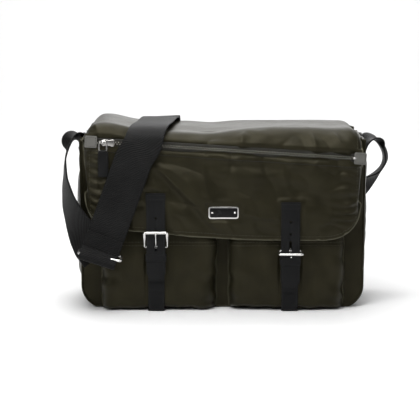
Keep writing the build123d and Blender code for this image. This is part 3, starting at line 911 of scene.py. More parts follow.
SEAM = BeadRow(0.0042, (0.0015, 0.00038, 0.00038), THREAD, jitter=0.08)
# Near-black stitch rows for the zip: real seams whose dark thread also paints the shadow lines along the
# zip's lips.
ZIP_SEAM_AND_PAINTED_SHADE = BeadRow(0.0036, (0.0015, 0.00042, 0.00042), DARK_THREAD, jitter=0.06)
LEATHER_SEAM = BeadRow(0.0036, (0.0013, 0.00036, 0.00036), DARK_THREAD, jitter=0.06)


# ---------------------------------------------------------------- assembling
def place(piece: Piece, body: str, slot: str, *nodes: str) -> Piece:
    """Let a piece ride on a body and stand for CAD nodes.

    Args:
        piece: The piece.
        body: Name of its body.
        slot: Not used.
        nodes: CAD nodes that it replaces.

    Returns:
        The same piece.
    """
    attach(piece, body)
    if nodes:
        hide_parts(*nodes)
    LOG.info("%s rides on %s, %d faces", piece.name, body, len(piece.data.polygons))
    return piece


def middle(node: str) -> Vector:
    """Middle of a CAD node's box at rest."""
    low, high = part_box(node)
    return (low + high) / 2


@dataclass
class Shell:
    """The bag's walls: two soft panels and a gusset strip that sag between their seams."""

    crown: float = 8.0 * MM
    belly: float = 13.0 * MM
    wall: float = 2.6 * MM
    corner: float = 30.0 * MM
    end_drop: float = 8.0 * MM
    half_w: float = field(init=False)
    half_d: float = field(init=False)
    top: float = field(init=False)

    def __post_init__(self) -> None:
        """Read the walls' places from the frame."""
        self.half_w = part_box("gusset_right")[1].x
        self.half_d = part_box("back_panel")[1].y
        self.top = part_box("back_panel")[1].z

    def lower_corners(self, points: Array) -> Array:
        """The same points with the mouth's ends lowered under the flap's rounded corners."""
        moved = np.array(points, float)
        near = ease(0.140, self.half_w, np.abs(moved[..., 0]))
        moved[..., 2] -= self.end_drop * near * ease(0.190, self.top, moved[..., 2])
        return moved

    def side_line(self, rows: int) -> tuple[Array, Array]:
        """Line of the gusset in the X-Z plane, from the top left round to the top right.

        Args:
            rows: Number of points.

        Returns:
            Points and outward directions.
        """
        r, w, h = self.corner, self.half_w, self.top
        turn = np.linspace(math.pi, 1.5 * math.pi, 14)
        left = np.stack([-w + r + r * np.cos(turn), r + r * np.sin(turn)], axis=1)
        down = np.stack([np.full(30, -w), np.linspace(h, r, 30, endpoint=False)], axis=1)
        half = np.vstack([down, left])
        line = np.vstack([half, half[::-1] * [-1, 1]])
        run = run_along(line)
        points = points_at(line, run, np.linspace(0, run[-1], rows))
        along = tangents(points)
        return points, np.stack([along[:, 1], -along[:, 0]], axis=1)

    def gusset_grid(self, rows: int = 330, columns: int = 64) -> Array:
        """Grid of the whole gusset strip, down one side, under the base and up the other."""
        line, out = self.side_line(rows)
        y = np.linspace(-self.half_d, self.half_d, columns)
        z = np.broadcast_to(line[:, None, 1], (rows, columns))
        base = np.stack([np.repeat(line[:, None, 0], columns, 1), np.repeat(y[None], rows, 0), z], -1)
        upright = ease(0.012, 0.05, z)
        side = 1 - (y[None] / self.half_d) ** 2
        puff = self.crown * np.sqrt(np.clip(side, 0, 1)) * upright * (0.55 + 0.45 * bump(0.12, 0.09, z))
        folds = 3.4 * MM * soft_noise(base * [1.0, 1.3, 0.6], 0.040, 1.0)
        folds -= 2.6 * MM * (1 - np.abs(soft_noise(base * [1, 1, 1.6], 0.06, 2.0))) ** 5
        folds = folds * upright * side
        lean = 2.2 * MM * np.sin(z / 0.021 + 38 * np.abs(y[None])) * bump(0.035, 0.03, z) * side * upright
        pinch = -3.0 * MM * ease(0.19, 0.238, z)
        shape = puff + folds + lean + pinch
        shape = shape * ease(0, 0.004, self.half_d - np.abs(y[None]))
        normal = np.stack([out[:, 0], np.zeros(rows), out[:, 1]], axis=1)[:, None]
        grid = base + normal * shape[..., None]
        grid[..., 2] = np.maximum(grid[..., 2], 0.0006 * (1 - upright))
        return self.lower_corners(grid)

    def panel_grid(self, way: float, rows: int = 110, columns: int = 170) -> Array:
        """Grid of the front (way -1) or back (way 1) panel."""
        v = np.linspace(0, 1, rows)
        z = self.top * (1 - v)
        low = np.clip(self.corner - z, 0, self.corner)
        reach = self.half_w - self.corner + np.sqrt(np.maximum(self.corner**2 - low**2, 1e-9))
        u = np.sin(np.linspace(-math.pi / 2, math.pi / 2, columns)) * 0.35
        u += 0.65 * np.linspace(-1, 1, columns)
        x = reach[:, None] * u[None]
        zz = np.repeat(z[:, None], columns, 1)
        y = np.full_like(x, self.half_d)
        flat = np.stack([x, y, zz], -1)
        edge = np.minimum(np.minimum(reach[:, None] - np.abs(x), zz), 0.06)
        puff = self.crown * np.sqrt(np.clip(edge / 0.06, 0, 1)) * ease(self.top, self.top - 0.05, zz)
        folds = 2.0 * MM * soft_noise(flat * [0.6, 1, 1.2], 0.06, 3.0 + way)
        folds += 1.3 * MM * soft_noise(flat * [1.6, 1, 0.7], 0.028, 5.0 + way)
        folds *= np.clip(edge / 0.03, 0, 1) * ease(self.top, self.top - 0.03, zz)
        if way > 0:
            flat[..., 1] += puff * 0.6 + folds
        else:
            over = ease(0.108, 0.150, zz) * ease(self.top, self.top - 0.035, zz)
            belly = self.belly * np.clip(edge / 0.03, 0, 1) ** 0.5 * over
            flat[..., 1] += belly + folds * (0.2 + 0.8 * over)
        flat[..., 1] *= way
        flat = self.lower_corners(flat)
        return flat if way < 0 else flat[:, ::-1]

    def build(self) -> None:
        """Build the walls, their welts, the mouth binding and the base."""
        rows = 330
        grid = self.gusset_grid(rows)
        run = np.arange(rows) * 0.00256
        cloth = np.stack(np.broadcast_arrays(grid[..., 1], run[:, None]), axis=-1)
        normals = -grid_normals(grid)
        _, out = self.side_line(rows)
        if np.sum(normals[:, 20, 0] * out[:, 0] + normals[:, 20, 2] * out[:, 1]) < 0:
            normals = -normals
        third = int(rows * 0.345)
        parts = (("gusset_left_cloth", slice(0, third + 1), "gusset_left"),
                 ("base_cloth", slice(third, rows - third), "base_panel"),
                 ("gusset_right_cloth", slice(rows - third - 1, rows), "gusset_right"))
        for name, span, node in parts:
            piece = sheet_piece(name, grid[span], self.wall, NYLON, cloth[span], normals[span])
            place(piece, "root", "nylon", node)
        for name, way, node in (("front_cloth", -1.0, "front_panel"), ("back_cloth", 1.0, "back_panel")):
            panel = self.panel_grid(way)
            facing = np.broadcast_to([0.0, way, 0.0], panel.shape)
            piece = sheet_piece(name, panel, self.wall, NYLON, panel[..., [0, 2]], facing)
            place(piece, "root", "nylon", node)
        self.welts()
        self.mouth()
        self.inside()

    def welts(self) -> None:
        """Round welts on the two seams, and the stitches beside the back one."""
        line, out = self.side_line(260)
        for name, way in (("front_welt", -1.0), ("back_welt", 1.0)):
            path = np.stack([line[:, 0], np.full(len(line), way * self.half_d), line[:, 1]], axis=1)
            path[:, 0] += out[:, 0] * 0.4 * MM
            path[:, 2] = np.maximum(path[:, 2] + out[:, 1] * 0.4 * MM, 1.9 * MM)
            path = self.lower_corners(path)
            welt = tube_piece(name, path, 1.6 * MM, NYLON, up=(0, 1, 0.02))
            place(welt, "root", "binding_cloth")
        path = np.stack([line[:, 0] * 0.975, np.full(len(line), self.half_d + 1.4 * MM),
                         np.maximum(line[:, 1], 7.0 * MM)], axis=1)
        row = replace(SEAM, out=(0, 1, 0))
        place(row.build("back_seam", [self.lower_corners(path)[20:-20]]), "root", "nylon")

    def mouth(self) -> None:
        """Folded binding round the mouth."""
        outline = round_rectangle(2 * self.half_w - 6 * MM, 2 * self.half_d - 3 * MM, 20 * MM, 10)
        fine = even_path(np.c_[outline, np.zeros(len(outline))], 240, closed=True)
        fine[:, 2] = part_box("rim_binding")[1].z - 2.9 * MM
        fine = self.lower_corners(fine)
        fine[:, 2] += 0.8 * MM * soft_noise(fine, 0.05, 9.0)
        piece = band_piece("mouth_binding", fine, (0, 0, 1), strip_section(5.2 * MM, 4.0 * MM, 5, 5), NYLON,
                           closed=True)
        place(piece, "root", "binding_cloth", "rim_binding")

    def inside(self) -> None:
        """Lining that hangs inside the walls, and the board on the base."""
        low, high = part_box("lining")
        upright, radius = 46, 14 * MM
        turn = np.linspace(0.12, 1.0, 8) * math.pi / 2
        levels = np.concatenate([np.linspace(high.z - 1 * MM, low.z + radius, upright),
                                 low.z + radius * (1 - np.sin(turn))])
        rings = []
        for z, gap in zip(levels, np.concatenate([np.zeros(upright), radius * (1 - np.cos(turn))])):
            outline = round_rectangle(2 * (high.x - gap) - 6 * MM, 2 * (high.y - gap) - 1 * MM, 12 * MM, 8)
            rings.append(even_path(np.c_[outline, np.full(len(outline), z)], 180, closed=True))
        floor = rings[-1]
        rings += [floor * [factor, factor, 1.0] for factor in (0.75, 0.5, 0.25, 0.02)]
        grid = self.lower_corners(np.array(rings))
        wave = np.abs(soft_noise(grid * [1.3, 1.3, 0.5], 0.05, 12.0)) * 2.6 * MM
        wave *= ease(levels[-1] - 0.001, levels[-1] + 0.03, grid[..., 2])
        grid[..., :2] *= 1 - (wave / np.maximum(np.linalg.norm(grid[..., :2], axis=-1), 0.04))[..., None]
        rows, columns = grid.shape[:2]
        inner = grid.copy()
        far = np.linalg.norm(grid[..., :2], axis=-1, keepdims=True)
        inner[..., :2] *= 1 - 0.8 * MM / np.maximum(far, 0.05)
        inner[upright:, :, 2] += 0.8 * MM
        count = rows * columns
        points = np.vstack([grid.reshape(-1, 3), inner.reshape(-1, 3)])
        faces = quads(rows, columns, wrap=True)
        faces += [tuple(reversed(f)) for f in quads(rows, columns, wrap=True, start=count)]
        faces += [(j, (j + 1) % columns, count + (j + 1) % columns, count + j) for j in range(columns)]
        last = (rows - 1) * columns
        faces.append(tuple(last + j for j in range(columns)))
        faces.append(tuple(count + last + j for j in reversed(range(columns))))
        run = np.stack(np.broadcast_arrays(np.arange(columns)[None] * 5 * MM, grid[..., 2]), -1)
        cloth = np.vstack([run.reshape(-1, 2)] * 2)
        piece = turn_outward(mesh_piece("inner_lining", points, faces, LINING, cloth))
        place(piece, "root", "lining_cloth", "lining")
        board_low, board_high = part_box("base_board")
        outline = round_rectangle(board_high.x - board_low.x - 2 * MM,
                                  board_high.y - board_low.y - 2 * MM, 8 * MM)
        ring = np.c_[outline, np.full(len(outline), board_low.z + 0.2 * MM)]
        board = plate_piece("inner_board", ring, board_high.z - board_low.z - 0.4 * MM, 0.6 * MM, BOARD,
                            axis=(0, 0, 1))
        place(board, "root", "board", "base_board")


@dataclass
class Pocket:
    """A puffed patch pocket with a stitched hem and soft side folds."""

    side: str
    seed: float
    wall: float = 1.8 * MM

    def grid(self, rows: int = 100, columns: int = 120, grow: float = 0.0) -> Array:
        """Grid of the pocket's outer face, from its hem down and round its ends.

        Args:
            rows: Rows from the hem to the lower seam.
            columns: Columns from the left seam to the right seam.
            grow: Distance that the grid stands proud.

        Returns:
            The grid.
        """
        low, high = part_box(f"pocket_{self.side}")
        back = high.y + 0.4 * MM
        depth = back - low.y
        height, width = high.z - low.z, high.x - low.x
        v = np.linspace(0, 1, rows)[:, None]
        u = np.linspace(-1, 1, columns)[None]
        drop = np.clip((v - 0.90) / 0.10, 0, 1)
        turn = drop * math.pi / 2
        bulge = 0.88 + 0.20 * np.sin(np.clip(v, 0, 1) ** 1.3 * math.pi) ** 0.8
        theta = np.sign(u) * np.clip((np.abs(u) - 0.72) / 0.28, 0, 1) * math.pi / 2
        flat_part = np.clip(np.abs(u) / 0.72, 0, 1) * np.sign(u)
        corner_x = 16 * MM
        x = flat_part * (width / 2 - corner_x) + np.sin(theta) * corner_x
        forward = np.cos(theta) ** 0.8
        y = back - depth * bulge * forward * np.cos(turn) ** 0.75
        round_low = 8 * MM
        z = high.z - np.clip(v / 0.90, 0, 1) * (height + 1.2 * MM - round_low) - np.sin(turn) * round_low
        x = x * (1 - 0.05 * drop**2)
        grid = np.stack(np.broadcast_arrays(x + (low.x + high.x) / 2, y, z), -1)
        side_fold = ease(0.5, 0.8, np.abs(u)) * ease(0.0, 0.04, 1 - np.abs(u))
        folds = 1.5 * MM * np.sin(z / (5.2 * MM) + 4.0 * u + 2.4 * soft_noise(grid, 0.04, self.seed))
        folds *= side_fold * (0.3 + 0.7 * bump(0.03, 0.035, z))
        from_end = 1 - np.abs(u)
        folds += 2.6 * MM * soft_noise(grid * [1, 0.3, 0.8], 0.055, self.seed + 2) * ease(0, 0.1, from_end)
        folds += 1.3 * MM * soft_noise(grid * [1.5, 0.4, 0.6], 0.022, self.seed + 4) * ease(0, 0.2, from_end)
        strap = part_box(f"lower_strap_{self.side}")
        centre = (strap[0].x + strap[1].x) / 2
        press = bump(centre, 15 * MM, grid[..., 0])
        folds = folds * (1 - press) - 1.0 * MM * press
        folds *= ease(0, 0.05, v) * 0.8 + 0.2
        grid = grid + front_normals(grid, rows // 2, columns // 2) * (folds + grow)[..., None]
        grid[..., 1] = np.minimum(grid[..., 1], back)
        grid[..., 2] = np.maximum(grid[..., 2], 0.8 * MM)
        near = bump(centre, 14 * MM, grid[..., 0])
        limit = strap[1].y + 0.3 * MM
        grid[..., 1] = np.where(near > 0.3, np.maximum(grid[..., 1], limit - grow), grid[..., 1])
        return grid

    def build(self) -> None:
        """Build the pocket, its hem and its stitches."""
        grid = self.grid()
        row, column = 50, 60
        normals = front_normals(grid, row, column)
        run_u, run_v = run_along(grid[row]), run_along(grid[:, column])
        cloth = np.stack(np.meshgrid(run_u, run_v), -1)
        piece = sheet_piece(f"pocket_{self.side}_cloth", grid, self.wall, NYLON, cloth, normals)
        place(piece, "root", "nylon", f"pocket_{self.side}")
        hem_rows = 20
        hem_grid = self.grid(grow=0.7 * MM)[:hem_rows, 3:-3]
        hem = sheet_piece(f"pocket_{self.side}_hem", hem_grid, 0.7 * MM, NYLON,
                          cloth[:hem_rows, 3:-3], normals[:hem_rows, 3:-3])
        place(hem, "root", "nylon", f"pocket_hem_{self.side}")
        proud = self.grid(grow=0.95 * MM)
        lines = [proud[hem_rows - 2, 4:-4], proud[2, 4:-4], proud[hem_rows + 2, 4:-4] + [0, 0.0007, 0]]
        place(SEAM.build(f"pocket_{self.side}_stitches", lines), "root", "nylon")
        back = self.grid(grow=0.2 * MM)
        edge = np.vstack([back[2:-1, 1], back[-1, 1:-1], back[-2:1:-1, -2]])
        edge[:, 1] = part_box("front_panel")[0].y - 0.8 * MM
        edge[:, 2] = np.maximum(edge[:, 2], 2.2 * MM)
        piping = tube_piece(f"pocket_{self.side}_piping", smooth_path(edge[::6], 150), 1.3 * MM,
                            PIPING, up=(0, 1, 0.03))
        place(piping, "root", "binding_cloth")


@dataclass
class ZipLine:
    """Line of the zip across the flap's front."""

    tilt: float = math.radians(3.6)
    length: float = 0.340
    left: Vector = field(init=False)
    right: Vector = field(init=False)

    def __post_init__(self) -> None:
        """Find the zip's ends from the two end tabs."""
        along = Vector((math.cos(self.tilt), 0, -math.sin(self.tilt)))
        a, b = middle("zip_tab_left"), middle("zip_tab_right")
        half = (self.length - (b - a).dot(along)) / 2
        self.left, self.right = a - along * half, b + along * half

    def height(self, x: Array) -> Array:
        """Height of the zip's middle at each x."""
        return self.left.z - (np.asarray(x) - self.left.x) * math.tan(self.tilt)

    def point(self, along: Array, across: float, y: float) -> Array:
        """Points along the zip.

        Args:
            along: Distances from the left end.
            across: Distance above the zip's middle.
            y: Place in depth.

        Returns:
            One point for each distance.
        """
        c, s = math.cos(self.tilt), math.sin(self.tilt)
        a = np.asarray(along, float)
        return np.stack([self.left.x + a * c + across * s, np.full_like(a, y),
                         self.left.z - a * s + across * c], axis=-1)


@dataclass
class Flap:
    """The flap: one soft sheet from the back seam, over the mouth and down the front."""

    zip_line: ZipLine
    thick: float = 2.4 * MM
    corner: float = 42.0 * MM
    fold: float = 9.0 * MM
    seam_z: float = 0.218
    lip: float = 5.7 * MM
    recess: float = 2.9 * MM
    columns: int = 190
    rows_above: int = 92
    rows_below: int = 66
    half_w: float = field(init=False)
    front: float = field(init=False)
    back: float = field(init=False)
    top: float = field(init=False)

    def __post_init__(self) -> None:
        """Read the flap's places from the frame."""
        low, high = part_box("flap")
        self.half_w = high.x + 3.0 * MM
        self.front = low.y
        self.top = high.z
        self.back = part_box("flap_hinge_strip")[1].y + 1.2 * MM

    def crest(self, x: Array, y: Array) -> Array:
        """Height of the flap over the mouth at each place."""
        wave = 7.0 * MM * bump(-0.158, 0.030, x) - 2.8 * MM * bump(-0.015, 0.026, x)
        wave = wave + 2.5 * MM * bump(-0.155, 0.05, x) - 2.2 * MM + 1.0 * MM * bump(0.075, 0.07, x)
        sag = -2.2 * MM * (1 - (np.asarray(y) / 0.075) ** 2) * bump(0.02, 0.14, x)
        return self.top + wave + sag

    def lower_edge(self, x: Array) -> Array:
        """Height of the flap's lower edge at each x."""
        x = np.asarray(x, float)
        line = 0.0985 + 0.0185 * (1 - ease(-0.22, 0.10, x)) ** 1.3 + 0.0035 * ease(0.11, 0.19, x)
        over = np.clip(np.abs(x) - (self.half_w - self.corner), 0, self.corner - 1e-5)
        return line + self.corner - np.sqrt(self.corner**2 - over**2)

    def profile(self, x: float) -> tuple[Array, Array, float]:
        """Section of the flap at one x.

        Args:
            x: Place across the bag.

        Returns:
            Points in y and z, their distance along the section, and where the zip crosses it.
        """
        radius = 0.019 + 0.014 * float(ease(-0.18, 0.18, x))
        edge = float(ease(self.half_w - 0.02, self.half_w, abs(x)))
        f, b = self.fold, self.back
        back_rows, turn_rows, top_rows = 12, 8, 46
        points = [(b, z) for z in np.linspace(self.seam_z, self.top - f, back_rows)]
        z_back = float(self.crest(x, b))
        points += [(b - f + f * math.cos(t), z_back - f + f * math.sin(t))
                   for t in np.linspace(0.15, math.pi / 2, turn_rows)]
        front = self.front + 1.0 * MM * edge
        for y in np.linspace(b - f - 0.004, front + radius + 0.001, top_rows):
            points.append((y, float(self.crest(x, y))))
        z_front = float(self.crest(x, front + radius))
        points += [(front + radius - radius * math.sin(t), z_front - radius + radius * math.cos(t))
                   for t in np.linspace(0.06, math.pi / 2, 18)]
        low = float(self.lower_edge(x))
        for z in np.linspace(z_front - radius - 0.002, low, 60):
            out = -1.6 * MM * math.exp(-(((z - 0.15) / 0.035) ** 2))
            out += 2.4 * MM * math.exp(-(((z - low) / 0.022) ** 2))
            points.append((front + out, z))
        line = np.array(points)
        run = run_along(line)
        first = back_rows + turn_rows + top_rows
        zip_z = float(self.zip_line.height(x))
        at_zip = float(np.interp(-zip_z, -line[first:, 1], run[first:]))
        return line, run, at_zip

    def rows_at(self, total: float, at_zip: float) -> Array:
        """Distances along a section at which the rows lie, close together round the zip."""
        half = np.array([2.0, 3.9, 4.5, 4.9, 5.3, 5.8, 6.4, 7.4, 9.0])
        crisp = np.concatenate([-half[::-1], [0.0], half]) * (self.lip / 5.2)
        above = np.linspace(0, at_zip - 10.6 * MM, self.rows_above)
        below = np.linspace(at_zip + 10.6 * MM, total, self.rows_below)
        return np.concatenate([above, at_zip + crisp * MM, below])

    def folds(self, grid: Array, off_zip: Array) -> Array:
        """Height of the flap's folds and gathers over its smooth shape.

        Args:
            grid: Points of the smooth shape.
            off_zip: Distance below the zip along the section.

        Returns:
            One height for each point.
        """
        x, z = grid[..., 0], grid[..., 2]
        on_front = ease(-0.070, -0.086, grid[..., 1])
        stretch = np.stack([x * 0.8, grid[..., 1], z * 1.25], -1)
        h = 2.6 * MM * soft_noise(stretch, 0.075, 1.0)
        slanted = np.stack([(x + 0.9 * z) * 1.5, grid[..., 1], (z - 0.6 * x) * 0.7], -1)
        crisp = 0.08 + 0.92 * on_front
        calm = 0.30 + 0.70 * on_front
        h += 1.3 * MM * soft_noise(stretch, 0.034, 2.0) * calm
        h += 3.0 * MM * (1 - np.abs(soft_noise(slanted, 0.085, 8.0))) ** 6 * crisp
        h -= 1.8 * MM * (1 - np.abs(soft_noise(slanted * [0.8, 1, 1.3], 0.06, 9.0))) ** 7 * crisp
        h += 0.35 * MM * soft_noise(stretch * [1, 1, 1.5], 0.013, 2.5) * calm
        near_zip = np.exp(-(((np.abs(off_zip) - 7 * MM) / (6 * MM)) ** 2)) * (np.abs(off_zip) > 6 * MM)
        h += 0.9 * MM * near_zip
        h += 0.5 * MM * near_zip * soft_noise(np.stack([x, x * 0, x * 0], -1), 0.016, 4.0)
        phase = 4.5 * soft_noise(np.stack([x, z, x * 0], -1), 0.045, 6.0)
        for edge_x, high, low, size, wave in ((-self.half_w, 0.222, 0.152, 1.5, 11.5),
                                              (self.half_w, 0.196, 0.130, 1.5, 12.5)):
            far = np.abs(x - edge_x)
            reach = np.exp(-(((far - 0.014) / 0.014) ** 2)) + 0.35 * np.exp(-((far / 0.045) ** 2))
            window = ease(low - 0.02, low, z) * ease(high + 0.02, high, z)
            reach = reach * ease(0.0, 0.010, far)
            h += size * MM * np.sin(2 * math.pi * z / (wave * MM) + phase) * reach * window * on_front
        for a, b, deep, wide in (((-0.100, 0.200), (-0.010, 0.106), -5.6, 9.0),
                                 ((-0.082, 0.200), (0.008, 0.106), 3.6, 9.0),
                                 ((0.060, 0.182), (0.175, 0.128), -2.6, 10.0),
                                 ((0.040, 0.150), (0.125, 0.106), 2.0, 10.0)):
            start, end = np.array(a), np.array(b)
            d = (end - start) / np.linalg.norm(end - start)
            across = (x - start[0]) * d[1] - (z - start[1]) * d[0]
            along = (x - start[0]) * d[0] + (z - start[1]) * d[1]
            size = np.linalg.norm(end - start)
            window = ease(-0.01, 0.03, along) * ease(size + 0.01, size - 0.03, along)
            h += deep * MM * np.exp(-((across / (wide * MM)) ** 2)) * window * on_front
        h *= 0.4 + 0.6 * ease(0.0, 0.022, self.half_w - np.abs(x))
        h -= 1.8 * MM * bump(0.019, 0.007, off_zip) * bump(0.03, 0.06, x)
        h += 1.1 * MM * bump(0.034, 0.010, off_zip) * bump(0.03, 0.08, x)
        return h

    def press(self, x: Array, z: Array) -> Array:
        """How far the flap is held flat under belts, plate and tabs, from 0 to 1."""
        held = np.zeros_like(x)
        for node, pad in (("belt_left", 4), ("belt_right", 4), ("blank_plate", 4),
                          ("zip_tab_left", 3), ("zip_tab_right", 3)):
            low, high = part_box(node)
            far, near = 2 * pad * MM, 1 * MM
            inside = ease(low.x - far, low.x - near, x) * ease(high.x + far, high.x + near, x)
            inside = inside * ease(low.z - far, low.z - near, z) * ease(high.z + far, high.z + near, z)
            held = np.maximum(held, inside)
        return held

    def grid(self, columns: int, inset: float = 0.0) -> tuple[Array, Array, Array]:
        """Grid of the flap's outer face.

        Args:
            columns: Number of columns.
            inset: How much narrower than the flap the grid is at each side.

        Returns:
            Points, outward normals and cloth places.
        """
        xs = np.linspace(-1, 1, columns)
        xs = (0.8 * xs + 0.2 * np.sin(xs * math.pi / 2)) * (self.half_w - inset)
        smooth, off, where = [], [], []
        for x in xs:
            line, run, at_zip = self.profile(float(x))
            at = self.rows_at(run[-1], at_zip)
            smooth.append(np.c_[np.full(len(at), x), points_at(line, run, at)])
            off.append(at - at_zip)
            where.append(at)
        grid = np.array(smooth).transpose(1, 0, 2)
        off_zip, along = np.array(off).T, np.array(where).T
        middle_row = grid.shape[0] - 30
        normals = front_normals(grid, middle_row, columns // 2)
        x, z = grid[..., 0], grid[..., 2]
        h = self.folds(grid, off_zip)
        root_end = ease(0.0, 0.03, along)
        h *= root_end * (0.35 + 0.65 * ease(0.02, 0.06, along))
        on_front = ease(-0.075, -0.088, grid[..., 1])
        held = self.press(x, z) * on_front
        h = h * (1 - held) - 0.25 * MM * held
        h = np.where(on_front > 0.9, np.minimum(h, 3.0 * MM), h)
        over = np.clip(np.abs(x) - (self.half_w - 0.020), 0, 0.020)
        roll = 0.020 - np.sqrt(np.maximum(0.020**2 - over**2, 0))
        top_part = 1 - ease(-0.055, -0.088, grid[..., 1])
        h -= roll * (0.62 + 0.28 * top_part) * root_end * (1 - 0.85 * held)
        ends = ease(-0.175, -0.170, x) * ease(0.181, 0.176, x)
        channel = 1 - ease(4.4 * MM, 5.4 * MM, np.abs(off_zip))
        grid = grid + normals * (h * (1 - 0.85 * channel * ends))[..., None]
        grid = grid - normals * (self.recess * channel * ends)[..., None]
        return grid, front_normals(grid, middle_row, columns // 2), np.stack([x, along], -1)

    def build(self) -> None:
        """Build the flap, its lining, its piping, its seams and its back band; the near-black seams by the
        zip also paint the shadow lines along its lips.
        """
        grid, normals, cloth = self.grid(self.columns)
        piece = sheet_piece("flap_cloth", grid, self.thick, NYLON, cloth, normals)
        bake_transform(piece)
        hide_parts("flap", "flap_hinge_strip")
        LOG.info("flap_cloth bends between root and flap")
        self.lining(grid, normals)
        border, outward = (np.vstack([a[30:, 0], a[-1, 1:-1], a[:29:-1, -1]]) for a in (grid, normals))
        side = np.zeros_like(border)
        side[:, 0] = np.sign(border[:, 0]) * ease(self.half_w - 0.03, self.half_w, np.abs(border[:, 0]))
        path = smooth_path((border - outward * self.thick * 0.5 + side * 0.6 * MM)[::3], 420)
        piping = tube_piece("flap_piping_cord", path, 1.35 * MM, PIPING, up=(0.11, 0.7, 0.69))
        place(piping, "flap", "binding_cloth", "flap_piping")
        proud = grid + normals * 0.15 * MM
        edge = np.vstack([proud[60:-3, 5], proud[-4, 5:-5], proud[-3:60:-1, -5]])
        place(SEAM.build("flap_stitches", [smooth_path(edge[::2], 700)]), "flap", "nylon")
        # Seam rows beside the zip, drawn near black: real stitching that also paints the shadow lines along
        # the lips.
        seams = [proud[self.rows_above + row, 6:-6] for row in (1, 17, 20)]
        place(ZIP_SEAM_AND_PAINTED_SHADE.build("zip_seam_stitches", seams), "flap", "leather")
        self.back_band(grid, normals)

    def lining(self, grid: Array, normals: Array) -> None:
        """Thin lining under the flap."""
        face = normals[40::2, 3:-3:2]
        inner = grid[40::2, 3:-3:2] - face * (self.thick + 0.25 * MM)
        piece = sheet_piece("flap_inner_cloth", inner, 0.6 * MM, LINING, inner[..., [0, 2]], face)
        place(piece, "flap", "lining_cloth", "flap_lining")

    def back_band(self, grid: Array, normals: Array) -> None:
        """Folded band over the seam that joins the flap to the back."""
        first = grid[:8, 2:-2] + normals[:8, 2:-2] * 0.35 * MM
        band = np.concatenate([first[:1] - [0, 0.4 * MM, 4 * MM], first], axis=0)
        band[..., 1] = np.maximum(band[..., 1], self.back - 0.2 * MM)
        face = np.broadcast_to([0.0, 1.0, 0.0], band.shape)
        piece = sheet_piece("flap_back_band", band, 1.4 * MM, NYLON, band[..., [0, 2]], face)
        place(piece, "root", "nylon")
        stitches = replace(SEAM, out=(0, 1, 0))
        rows = [band[1, 4:-4] + [0, 0.3 * MM, 0], band[-2, 4:-4] + [0, 0.3 * MM, 0]]
        place(stitches.build("back_band_stitches", rows), "root", "nylon")


